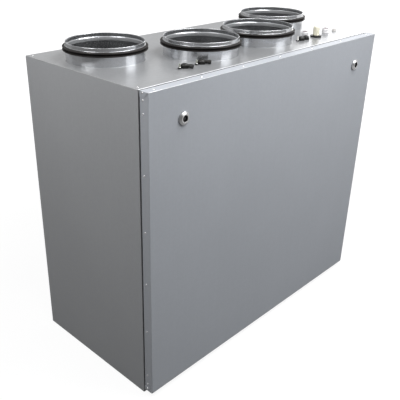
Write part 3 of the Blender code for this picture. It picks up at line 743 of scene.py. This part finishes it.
for number, ((x, y), turn) in enumerate(zip(SPIGOTS, SEAM_TURNS), 1):
    place = at((x, y, 0))
    seam_place = place @ Matrix.Rotation(math.radians(turn), 4, "Z")
    whole = joined([copied(tube, [place]), copied(seam, [seam_place])])
    finished(whole, "spigot_tube_%d" % number, "spigot_zinc", node="spigot_%d" % number, smooth=30)
    axis = Vector((x, y))
    brighten(whole, "roof_zinc", lambda f: f.center.z < FLANGE_FOOT + 0.6 * MM)
    brighten(whole, "inner_sheet", lambda f: within(f, axis) and BAND_FOOT < f.center.z < BAND_TOP)
    # Deep inside, below the band, the tube gets the darker zinc: painted shade in the duct.
    brighten(whole, "duct_painted_shade", lambda f: within(f, axis) and f.center.z < BAND_FOOT)
print("spigots", round(2 * OUTER / MM), "mm across, rims at", round(RIM / MM), "mm")

# %% [markdown]
# ## Lip seals
#
# The rubber is one ring: a flat band in the groove with two thin lips that lean
# down and out, like an umbrella. The lips are drawn round at their tips.

# %% Seals
def seal_profile():
    """The ring's section, counterclockwise from its inner foot."""
    bed = OUTER - BED + 0.1 * MM
    belt = OUTER + 1.0 * MM
    tip = LIP_RADIUS - 0.9 * MM
    section = [(bed, GROOVE_FOOT + 0.8 * MM), (belt, GROOVE_FOOT + 0.3 * MM)]
    for root in (GROOVE_FOOT + 1.2 * MM, GROOVE_TOP - 3.4 * MM):
        section += [(belt + 0.6 * MM, root)]
        section += arc(tip - 0.8 * MM, root + 0.3 * MM, 1.7 * MM, -70, 80)
        section += [(belt + 0.6 * MM, root + 3.0 * MM)]
    return section + [(belt - 0.4 * MM, GROOVE_TOP - 0.3 * MM), (bed, GROOVE_TOP - 0.8 * MM)]


ring = turned(seal_profile(), steps=144, loop=True)
for number, (x, y) in enumerate(SPIGOTS, 1):
    seal = copied(ring, [at((x, y, 0))])
    finished(seal, "lip_seal_%d" % number, "black_rubber", node="spigot_seal_%d" % number, smooth=50)
print("lip seals:", len(SPIGOTS))

# %% [markdown]
# ## Locks
#
# A lock's collar is a six-sided chrome boss with a wide cone turned on its
# front, so each flat ends in a curve, like a nut's. The black core sits in it,
# with a square driver down in its well for the door key.

# %% Six-sided bars and what two shapes share
def hexagon(radius, height):
    """A six-sided bar that stands on the origin, its corners at this radius."""
    bpy.ops.mesh.primitive_cylinder_add(vertices=6, radius=radius, depth=height, location=(0, 0, height / 2))
    made = bpy.context.object
    bpy.ops.object.transform_apply()
    return made


def shared(thing, other):
    """Keeps what two shapes have in common."""
    alone(thing)
    step = thing.modifiers.new("common", "BOOLEAN")
    step.operation = "INTERSECT"
    step.object = other
    bpy.ops.object.modifier_apply(modifier="common")
    bpy.data.objects.remove(other)
    return thing


# %% Lock collars and cores
low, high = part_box("lock_collar_left")
COLLAR_RADIUS = (high.z - low.z) / 2
COLLAR_REACH = high.y - low.y
COLLAR_BACK = high.y
CORE_RADIUS = 10.5 * MM
BORE = CORE_RADIUS + 0.45 * MM
FACE_RADIUS = 13.0 * MM
CORNER_RADIUS = COLLAR_RADIUS - 2.6 * MM
LIP = 0.8 * MM
cone = turned([
    (BORE, 0), (CORNER_RADIUS, 0), (CORNER_RADIUS, 3.8 * MM),
    *arc(FACE_RADIUS, COLLAR_REACH - 1.0 * MM, 1.0 * MM, 30, 90, 4),
    (CORE_RADIUS + 0.4 * MM, COLLAR_REACH), (CORE_RADIUS - 0.5 * MM, COLLAR_REACH - 0.3 * MM),
    (CORE_RADIUS - 0.5 * MM, COLLAR_REACH - LIP), (BORE, COLLAR_REACH - LIP),
], steps=96, loop=True)
collar = shared(hexagon(COLLAR_RADIUS, COLLAR_REACH), cone)
soften(collar, 0.25 * MM, 2, 30)
for side in ("left", "right"):
    low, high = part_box("lock_collar_" + side)
    centre = (low + high) / 2
    boss = copied(collar, [at((centre.x, COLLAR_BACK, centre.z), "front")])
    finished(boss, "lock_boss_" + side, "lock_chrome", node="lock_collar_" + side, smooth=28)
    rounded("lock_core_" + side, "lock_barrel_" + side, "lock_black", 0.25 * MM)
print("lock bosses", round(2 * COLLAR_RADIUS / MM), "mm across their corners")

# %% [markdown]
# ## Glands and stubs on the roof
#
# Control cables leave through small screwed glands: a six-sided nut, and a
# fluted cap that squeezes the cable. The two on the left carry rubber elbows.
# Thin stubs beside them are for pressure hoses, each on a black rubber foot.

# %% Nuts and flutes
def centre_of(name):
    """The middle of a node's foot."""
    low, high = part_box(name)
    return Vector(((low.x + high.x) / 2, (low.y + high.y) / 2, low.z))


def chamfered_nut(radius, height):
    """A nut with its corners turned down on top."""
    cone = turned([(0, 0), (radius + 0.4 * MM, 0), (radius + 0.4 * MM, height - 1.0 * MM),
                   (radius * 0.90, height), (0, height)], steps=64)
    return soften(shared(hexagon(radius, height), cone), 0.2 * MM, 2, 30)


def fluted(thing, radius, low, high, flutes, depth):
    """Presses flutes into the round side of a turned piece."""
    turn = math.tau / flutes

    def on_flute(face):
        middle = face.calc_center_median()
        if abs(face.normal.z) > 0.3 or middle.xy.length < radius * 0.93:
            return False
        if not low < middle.z < high:
            return False
        return (math.atan2(middle.y, middle.x) % turn) < turn / 2

    edit(thing)
    choose(thing, "FACE", on_flute)
    bpy.ops.mesh.inset(thickness=0.12 * MM, depth=-depth, use_individual=False)
    bpy.ops.object.mode_set(mode="OBJECT")


# %% A gland's cap
NUT_RADIUS = 14.5 * MM
NUT_HEIGHT = 5.0 * MM
CAP_RADIUS = 12.0 * MM


def cap(top):
    """A domed cap with a sealed cable hole in its crown."""
    piece = turned([
        (0, top - 1.4 * MM), (2.6 * MM, top - 1.2 * MM), (3.4 * MM, top - 0.3 * MM),
        *arc(4.4 * MM, top - 1.0 * MM, 1.0 * MM, 120, 60, 3),
        (7.4 * MM, top - 0.9 * MM), (9.8 * MM, top - 2.2 * MM), (11.3 * MM, top - 3.8 * MM),
        (CAP_RADIUS, top - 5.4 * MM), (CAP_RADIUS, NUT_HEIGHT + 0.8 * MM),
        (CAP_RADIUS - 0.8 * MM, NUT_HEIGHT), (CAP_RADIUS - 0.8 * MM, NUT_HEIGHT - 0.5 * MM),
        (0, NUT_HEIGHT - 0.5 * MM),
    ], steps=96)
    fluted(piece, CAP_RADIUS, NUT_HEIGHT + 0.8 * MM, top - 4.2 * MM, 24, 0.45 * MM)
    return piece


# %% An elbow
ELBOW_RINGS = 4
FIRST_RING, RING_PITCH = 12.6 * MM, 2.6 * MM


def elbow(reach):
    """A soft elbow: a ringed neck with a thick round end."""
    neck = 5.0 * MM
    swell = neck + 0.7 * MM
    end = 6.4 * MM
    profile = [(0, 0), (neck, 0)]
    for ring in range(ELBOW_RINGS):
        z = FIRST_RING + ring * RING_PITCH
        profile += [(neck, z), (swell, z + 0.5 * MM), (swell, z + 1.2 * MM), (neck, z + 1.7 * MM)]
    profile += [(neck, reach - 10 * MM), *arc(end - 1.2 * MM, reach - 8.8 * MM, 1.2 * MM, -90, 0, 3),
                *arc(end - 2.0 * MM, reach - 2.1 * MM, 2.0 * MM, 0, 90, 5), (2.4 * MM, reach - 0.1 * MM),
                (2.0 * MM, reach - 1.5 * MM), (0, reach - 1.6 * MM)]
    return turned(profile, steps=48)


# %% The six glands
ELBOW_RISE = 7.0 * MM


def cable_gland(name, look, elbow_turn=None, elbow_reach=0.0):
    low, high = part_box(name)
    place = centre_of(name)
    parts = [chamfered_nut(NUT_RADIUS, NUT_HEIGHT), cap(high.z - low.z)]
    if elbow_turn is not None:
        place.x, place.y = ELBOW_AXES[name], ROW
        arm = elbow(elbow_reach)
        about = Matrix.Rotation(math.radians(elbow_turn), 4, "Z")
        arm.matrix_world = at((0, 0, ELBOW_RISE)) @ about @ FACING["right"]
        parts.append(arm)
    return finished(joined(parts), name + "_moulding", look, node=name, smooth=30, place=at(place))


# The elbows make the boxes of two glands lopsided, so their axes come from
# the stubs beside them.
STUB_AHEAD = 21.2 * MM
ROW = centre_of("gland_3").y
ELBOW_AXES = {"gland_%d" % k: centre_of("stub_%d" % k).x + STUB_AHEAD for k in (1, 2)}
cable_gland("gland_1", "black_plastic", -72, 29 * MM)
cable_gland("gland_2", "black_plastic", -56, 31 * MM)
for name in ("gland_3", "gland_4"):
    cable_gland(name, "black_plastic")
CROWN_DEPTH, CROWN_RADIUS = 2.6 * MM, 9.8 * MM
for name in ("gland_5", "gland_6"):
    plain = cable_gland(name, "grey_plastic")
    crown = max(vertex.co.z for vertex in plain.data.vertices) - CROWN_DEPTH
    middle = centre_of(name).xy
    brighten(plain, "cap_grey", lambda f: f.center.z > crown and (f.center.xy - middle).length < CROWN_RADIUS)
print("glands: 6, in a row at", round(ROW, 4))

# %% [markdown]
# The supply cable's relief is taller: a wide black nut, and a cream sleeve
# with flutes for the fingers and a hole that is still closed.

# %% Power gland
low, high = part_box("power_nut")
nut = chamfered_nut((high.y - low.y) / 2, high.z - low.z)
finished(nut, "power_nut_moulding", "black_plastic", node="power_nut", smooth=30,
         place=at(centre_of("power_nut")))
low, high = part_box("power_gland")
SLEEVE = (high.x - low.x) / 2
TALL = high.z - low.z
sleeve = turned([
    (0, TALL - 9 * MM), (4.6 * MM, TALL - 9 * MM), (5.0 * MM, TALL - 0.8 * MM),
    *arc(6.0 * MM, TALL - 1.0 * MM, 1.0 * MM, 150, 90, 3),
    *arc(SLEEVE - 4.0 * MM, TALL - 3.4 * MM, 3.4 * MM, 90, 0),
    (SLEEVE - 0.4 * MM, TALL - 4 * MM), (SLEEVE - 0.3 * MM, 4.6 * MM), (SLEEVE, 4.2 * MM),
    (SLEEVE, 0.4 * MM), (SLEEVE - 0.4 * MM, 0), (0, 0),
], steps=96)
fluted(sleeve, SLEEVE - 0.4 * MM, 5 * MM, TALL - 4.5 * MM, 16, 0.5 * MM)
finished(sleeve, "power_sleeve", "cream_plastic", node="power_gland", smooth=30,
         place=at(centre_of("power_gland")))
print("power sleeve", round(TALL / MM), "mm tall")

# %% [markdown]
# A hose is pushed over a thin barbed tube. The last hole is free, so a fluted
# plug closes it.

# %% Hose stubs
def hose_stub(name, look, height):
    """A barbed stub in its black foot. The stub replaces the node, the foot rides along."""
    place = at(centre_of(name))
    foot = turned([(0, 0), (5.6 * MM, 0), *arc(5.0 * MM, 3.0 * MM, 0.9 * MM, 0, 90, 4), (3.2 * MM, 4.0 * MM),
                   (0, 4.0 * MM)], steps=40)
    finished(foot, name + "_foot", "black_plastic", body="casing", place=place)
    washer = turned([(2.3 * MM, 3.9 * MM), (4.2 * MM, 3.9 * MM), (4.2 * MM, 4.6 * MM), (3.8 * MM, 5.0 * MM),
                     (2.3 * MM, 5.0 * MM)], steps=40, loop=True)
    finished(washer, name + "_washer", "rivet_zinc", body="casing", place=place)
    profile = [(0, height), (1.5 * MM, height), (2.4 * MM, height - 0.8 * MM)]
    for barb in range(3):
        z = height - 2.8 * MM - barb * 3.0 * MM
        profile += [(2.9 * MM, z), (2.1 * MM, z - 0.2 * MM)]
    profile += [(2.1 * MM, 3.6 * MM), (0, 3.6 * MM)]
    finished(turned(profile, steps=40), name + "_barbs", look, node=name, place=place)


for name, look in (("stub_1", "smoke_plastic"), ("stub_2", "smoke_plastic"), ("stub_3", "white_plastic")):
    low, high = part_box(name)
    hose_stub(name, look, high.z - low.z)
    print(name, round((high.z - low.z) / MM, 1), "mm tall")

# %% The plug
low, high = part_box("stub_4")
PLUG = (high.x - low.x) / 2
plug = turned([
    (0, 7.2 * MM), (3.0 * MM, 7.2 * MM), (3.6 * MM, 7.9 * MM),
    *arc(PLUG - 3.4 * MM, 6.9 * MM, 1.0 * MM, 90, 0, 4),
    (PLUG - 2.4 * MM, 3.6 * MM), (PLUG - 2.0 * MM, 3.0 * MM),
    *arc(PLUG - 0.8 * MM, 2.2 * MM, 0.8 * MM, 90, 0, 4),
    (PLUG, 0.6 * MM), (PLUG - 0.5 * MM, 0), (0, 0),
], steps=56)
fluted(plug, PLUG - 2.4 * MM, 3.7 * MM, 6.8 * MM, 14, 0.35 * MM)
finished(plug, "blanking_plug", "white_plastic", node="stub_4", smooth=30, place=at(centre_of("stub_4")))
# The groove under the plug's head and the ring round its top recess get a darker grey: painted shade in the
# grooves.
PAINTED_SHADE_BANDS = ((2.4 * MM, 3.6 * MM), (7.0 * MM, 7.6 * MM))
for band_low, band_high in PAINTED_SHADE_BANDS:
    brighten(plug, "cap_grey", lambda f: band_low < f.center.z - low.z < band_high)
print("plug", round(2 * PLUG / MM, 1), "mm across")

# %% [markdown]
# ## Behind the door
#
# With the door off, the exchanger shows its square end plate on one corner,
# with the filters above it and a fan in each side channel.

# %% Plate heat exchanger
low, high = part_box("heat_exchanger")
PLATE_COUNT = 88
PLATE = 0.6 * MM
END = 10 * MM
CORE_INSET = 9 * MM
half = (high.x - low.x) / 2
mid_height = (low.z + high.z) / 2
pitch = (high.y - low.y - 2 * END) / PLATE_COUNT


def diamond(size, thick):
    """A square plate stood on its corner."""
    bpy.ops.mesh.primitive_cylinder_add(vertices=4, radius=size, depth=thick,
                                        rotation=(math.radians(90), 0, 0))
    made = bpy.context.object
    bpy.ops.object.transform_apply()
    return made


plate = diamond(half - CORE_INSET, PLATE)
edit(plate)
choose(plate, "FACE", lambda f: abs(f.normal.y) > 0.9)
bpy.ops.mesh.inset(thickness=8 * MM, depth=0)
bpy.ops.mesh.inset(thickness=2 * MM, depth=0.8 * MM)
depths = [low.y + END + pitch * (k + 0.5) for k in range(PLATE_COUNT)]
stack = copied(plate, [at((0, depth, mid_height)) for depth in depths])
finished(stack, "exchanger_plates", "exchanger_aluminium", body="casing", smooth=20)
rounded("heat_exchanger", "exchanger_frame", "exchanger_aluminium", 0.7 * MM)
print("exchanger plates:", PLATE_COUNT)

# %% [markdown]
# The end plate is pressed with a raised square that has a sunken band in it,
# which keeps thin metal from drumming. A strap on it pulls the block out.

# %% End pressing and strap
PRESSING = 2.8 * MM
PRESSING_INSET = 40 * MM
pressing = diamond(half - PRESSING_INSET, 2 * PRESSING)
edit(pressing)
choose(pressing, "FACE", lambda f: f.normal.y < -0.9)
bpy.ops.mesh.inset(thickness=14 * MM, depth=0)
bpy.ops.mesh.inset(thickness=3 * MM, depth=-2.0 * MM)
bpy.ops.mesh.inset(thickness=34 * MM, depth=0)
bpy.ops.mesh.inset(thickness=3 * MM, depth=2.0 * MM)
finished(soften(pressing, 0.6 * MM), "exchanger_end_pressing", "exchanger_aluminium", body="casing",
         place=at((0, low.y, mid_height)))
STRAP_LONG, STRAP_WIDE, STRAP_THICK = 150 * MM, 24 * MM, 1.5 * MM
strap_face = low.y - PRESSING - STRAP_THICK
strap = block((-STRAP_LONG / 2, strap_face, mid_height - STRAP_WIDE / 2),
              (STRAP_LONG / 2, low.y - PRESSING + 0.1 * MM, mid_height + STRAP_WIDE / 2))
finished(soften(strap, 0.5 * MM), "exchanger_strap", "black_rubber", body="casing")
screw = turned([
    (0, 0.2 * MM), (1.1 * MM, 0.3 * MM), (1.5 * MM, 1.4 * MM), (2.8 * MM, 1.5 * MM), (3.6 * MM, 0.6 * MM),
    (3.7 * MM, -0.2 * MM), (0, -0.2 * MM),
], steps=24)
STRAP_SCREW = 66 * MM
ends = [at((x, strap_face, mid_height), "front") for x in (-STRAP_SCREW, STRAP_SCREW)]
finished(copied(screw, ends), "exchanger_strap_screws", "rivet_zinc", body="casing")
print("strap", round(STRAP_LONG / MM), "mm long")

# %% [markdown]
# A filter is a pleated mat in a stiff frame. The mat is folded about twenty
# times, so that a small cassette holds a lot of cloth.

# %% Filters
PLEATS = 19
RIM_WIDTH = 12 * MM
MAT_INSET = Vector((RIM_WIDTH, RIM_WIDTH, 5 * MM))
for side in ("left", "right"):
    low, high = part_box(side + "_filter")
    cassette = block(low, high)
    edit(cassette)
    choose(cassette, "FACE", lambda f: abs(f.normal.z) > 0.9)
    bpy.ops.mesh.inset(thickness=RIM_WIDTH, depth=0)
    bpy.ops.mesh.bridge_edge_loops()
    bpy.ops.mesh.select_all(action="SELECT")
    bpy.ops.mesh.normals_make_consistent(inside=False)
    finished(soften(cassette, 0.8 * MM), side + "_filter_frame", "filter_media", node=side + "_filter")
    inner_low, inner_high = low + MAT_INSET, high - MAT_INSET
    middle = (inner_low + inner_high) / 2
    bpy.ops.mesh.primitive_grid_add(x_subdivisions=2 * PLEATS, y_subdivisions=1, size=1, location=middle)
    mat = bpy.context.object
    mat.scale = (inner_high.x - inner_low.x, inner_high.y - inner_low.y, 1)
    bpy.ops.object.transform_apply()
    step = (inner_high.x - inner_low.x) / (2 * PLEATS)
    rise = (inner_high.z - inner_low.z) / 2 - 1 * MM
    edit(mat)
    for odd, lift in ((0, rise), (1, -rise)):
        choose(mat, "VERT", lambda v: round((v.co.x - inner_low.x) / step) % 2 == odd)
        bpy.ops.transform.translate(value=(0, 0, lift))
    alone(mat)
    thickness = mat.modifiers.new("cloth", "SOLIDIFY")
    thickness.thickness = 0.8 * MM
    bpy.ops.object.modifier_apply(modifier="cloth")
    finished(mat, side + "_filter_mat", "filter_media", body="casing", smooth=20)
print("filter pleats:", PLEATS)

# %% [markdown]
# ## Fans
#
# The wheels' shapes are in the frame: blades that curve backwards between a
# shroud and a plate, hung from a bridge. A cast motor has cooling ribs round
# it, and screws hold it to the bridge and the bridge to the deck.

# %% A motor's rib
RIB_COUNT = 28
RIB_HALF = 0.9 * MM
RIB_REACH = 4.5 * MM
MOTOR_RADIUS = 40 * MM
MOTOR_FOOT = 90 * MM
MOTOR_TOP = 114 * MM
rib = block((MOTOR_RADIUS - 1 * MM, -RIB_HALF, MOTOR_FOOT), (MOTOR_RADIUS + RIB_REACH, RIB_HALF, MOTOR_TOP))
soften(rib, 0.5 * MM)
print("rib", round((MOTOR_TOP - MOTOR_FOOT) / MM), "mm tall")

# %% Fans
BRIDGE_TOP, BRIDGE_REACH = 121.5 * MM, 14 * MM
FOOT_TOP, FOOT_REACH = 5 * MM, 103 * MM
SCREW_ASIDE = 7 * MM


def round_axis(count, centre):
    """Turned places round a vertical axis."""
    return [at(centre) @ Matrix.Rotation(math.tau * k / count, 4, "Z") for k in range(count)]


for side in ("left", "right"):
    rounded(side + "_fan", side + "_fan_casting", "fan_metal", 0.3 * MM, 1, 50, smooth=30)
    axis = centre_of(side + "_fan")
    finished(copied(rib, round_axis(RIB_COUNT, axis)), side + "_motor_ribs", "fan_metal", body="casing")
    spots = []
    for rise, reach in ((BRIDGE_TOP, BRIDGE_REACH), (FOOT_TOP, FOOT_REACH)):
        spots += [(dx, dy, rise) for dx in (-SCREW_ASIDE, SCREW_ASIDE) for dy in (-reach, reach)]
    heads = copied(screw, [at(axis + Vector(spot)) for spot in spots])
    finished(heads, side + "_fan_screws", "rivet_zinc", body="casing")
print("fans: 2, ribs round each motor:", RIB_COUNT)

# %% [markdown]
# The terminal box is a moulded case. Its lid stands a little proud, and a
# screw in each corner holds it: the same screw as on the strap and the fans.

# %% Control box
low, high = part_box("control_box")
rounded("control_box", "control_box_case", "grey_plastic", 4 * MM, 4)
LID = 3.0 * MM
LID_INSET = 7 * MM
lid = block((low.x + LID_INSET, low.y - LID, low.z + LID_INSET),
            (high.x - LID_INSET, low.y + 0.5 * MM, high.z - LID_INSET))
finished(soften(lid, 1.4 * MM, 3), "control_box_lid", "grey_plastic", body="casing")
SCREW_INSET = LID_INSET + 9 * MM
spots = [(x, low.y - LID, z) for x in (low.x + SCREW_INSET, high.x - SCREW_INSET)
         for z in (low.z + SCREW_INSET, high.z - SCREW_INSET)]
heads = copied(screw, [at(spot, "front") for spot in spots])
finished(heads, "control_box_screws", "rivet_zinc", body="casing")
print("lid screws:", len(spots))

# %% Take away the models of the copies
MODELS = (rivet, tube, seam, ring, collar, plate, screw, rib)
for model in MODELS:
    bpy.data.objects.remove(model)
print("models taken away:", len(MODELS))

# %% [markdown]
# ## Floor and room
#
# A pale floor and a plain bright room. Both look white to the camera, and the
# floor keeps the cabinet's shadow. Its paint is dark, so it throws little light
# back up, and the white is a glow that only the camera and mirrors see. Bright
# metal shows its surroundings, so the room is only white behind the cabinet,
# where the roof mirrors it. Behind the camera stands a grey wall, which only
# mirrors see, and there the mirrored floor is greyer too.

# %% Floor
FLOOR_SIZE = 24.0
bpy.ops.mesh.primitive_plane_add(size=FLOOR_SIZE, location=(0, 0, -0.5 * MM))
floor = bpy.context.object
floor.name = "floor"
ground = Finish("floor_paint", roughness=0.9)
ground.set("Base Color", ground.blend(ground.noise(3.0, 2, 0.5), grey(0.11), grey(0.13)))
floor.data.materials.append(ground.material)
print("floor", FLOOR_SIZE, "m across")

# %% The floor's glow
SLANT = 0.7071
away = (ground.axis("X") ** 2.0 + ground.axis("Y") ** 2.0) ** 0.5
white_floor = away.ramp(1.0, 3.6, 0.89, 1.05)
behind = (ground.axis("X") + ground.axis("Y")) * SLANT
across = (ground.axis("X") - ground.axis("Y")) * SLANT
mirrored = behind.ramp(-3.4, -1.5, 0.36, 0.86) * across.ramp(0.6, 3.0, 0.28, 1.0)
ray = ground.node("ShaderNodeLightPath")
straight = Field(ground, ray.outputs["Is Camera Ray"])
bounced = Field(ground, ray.outputs["Is Glossy Ray"])
seen = straight + bounced + Field(ground, ray.outputs["Is Transmission Ray"])
glow = ground.node("ShaderNodeEmission", None, {"Strength": white_floor + (mirrored - white_floor) * bounced})
clear = ground.node("ShaderNodeBsdfTransparent", None, {"Color": (0, 0, 0, 1)})
choice = ground.node("ShaderNodeMixShader", None, {
    0: seen.combine("MINIMUM", seen, 1.0), 1: clear.outputs[0], 2: glow.outputs[0]})
total = ground.node("ShaderNodeAddShader", None, {0: ground.shader.outputs[0], 1: choice.outputs[0]})
ground.feed(ground.tree.nodes["Material Output"].inputs["Surface"], total.outputs[0])
print("nodes in the floor's finish:", len(ground.tree.nodes))

# %% A grey wall far behind the camera, which only mirrors see
WALL_HIGH, WALL_AWAY = 4.0, 6.5
WALL_FROM = 1.5
WALL_GLOW = 0.14
bpy.ops.mesh.primitive_cylinder_add(vertices=48, radius=WALL_AWAY, depth=WALL_HIGH, end_fill_type="NOTHING",
                                    location=(0, 0, WALL_HIGH / 2))
wall = bpy.context.object
wall.name = "grey_wall"
bpy.ops.object.mode_set(mode="EDIT")
choose(wall, "FACE", lambda f: f.calc_center_median().x + f.calc_center_median().y > WALL_FROM)
bpy.ops.mesh.delete(type="FACE")
bpy.ops.object.mode_set(mode="OBJECT")
wall.visible_camera = False
paper = Finish("wall_paper", roughness=0.9)
paper.set("Base Color", paper.blend(paper.noise(3.0, 2, 0.5), grey(0.16), grey(0.19)))
paper.set("Emission Color", (1, 1, 1, 1))
paper.set("Emission Strength", WALL_GLOW)
wall.data.materials.append(paper.material)
print("wall", WALL_AWAY, "m away,", len(wall.data.polygons), "panels")

# %% World
ROOM_STRENGTH = 0.16
MIRRORED_ROOM = 0.8
world = bpy.data.worlds.new("room")
bpy.context.scene.world = world
world.use_nodes = True
sky = Graph(world.node_tree)
lit = sky.tree.nodes["Background"]
sky.feed(lit.inputs["Color"], (0.96, 0.98, 1.0, 1))
sky.feed(lit.inputs["Strength"], ROOM_STRENGTH)
path = sky.node("ShaderNodeLightPath")
rays = path.outputs["Is Camera Ray"]
level = sky.node("ShaderNodeMapRange", None, {"Value": rays, "To Min": MIRRORED_ROOM, "To Max": 1.0})
white = sky.node("ShaderNodeBackground", None, {"Color": (1, 1, 1, 1), "Strength": level.outputs[0]})
for kind in ("Is Glossy Ray", "Is Transmission Ray"):
    either = sky.node("ShaderNodeMath", {"operation": "MAXIMUM"}, {0: rays, 1: path.outputs[kind]})
    rays = either.outputs[0]
pick = sky.node("ShaderNodeMixShader", None, {0: rays, 1: lit.outputs[0], 2: white.outputs[0]})
sky.feed(sky.tree.nodes["World Output"].inputs["Surface"], pick.outputs[0])
print("light of the room:", ROOM_STRENGTH)

# %% [markdown]
# ## Lamps
#
# The lamps are large and soft. One stands in front on the right and one high
# over the door, so that the door is lightest at its top. One high on the left
# does the same for the side, one is over the roof, and one lights the back. It
# stands low, and mirrors don't see it, so that no rim catches it as a bright
# spot. A wide one, far off on the right, is what the roof's right half mirrors.

# %% Lamps
def softbox(name, place, aim, width, height, watts, colour=(1, 1, 1)):
    """A large flat lamp that points from its place to its aim."""
    lamp = bpy.data.lights.new(name, "AREA")
    lamp.shape = "RECTANGLE"
    lamp.size, lamp.size_y = width, height
    lamp.energy = watts
    lamp.color = colour
    made = bpy.data.objects.new(name, lamp)
    bpy.context.scene.collection.objects.link(made)
    made.location = place
    made.rotation_euler = (Vector(aim) - Vector(place)).to_track_quat("-Z", "Y").to_euler()
    made.visible_camera = False
    return made


softbox("front_right", (1.9, -3.05, 2.4), (0.1, -0.3, 0.6), 2.3, 1.8, 56, (0.96, 0.98, 1.0))
softbox("over_door", (-0.3, -1.5, 2.6), (-0.1, -0.2, 1.0), 1.8, 0.8, 24, (0.97, 0.99, 1.0))
softbox("overhead", (0.45, -0.75, 2.5), (0.35, -0.45, 1.0), 1.2, 0.8, 30)
softbox("over_left", (-1.5, 0.05, 2.0), (-0.6, 0.0, 0.8), 0.8, 1.3, 18)
back_light = softbox("far_back", (-1.0, 4.0, 0.9), (0.0, 0.3, 0.6), 2.6, 1.2, 55)
back_light.visible_glossy = False
softbox("far_right", (5.6, 1.9, 1.8), (0.3, 0.0, 1.05), 3.0, 1.7, 45)
print("lamps: 6")

bpy.context.scene.view_settings.view_transform = "Standard"
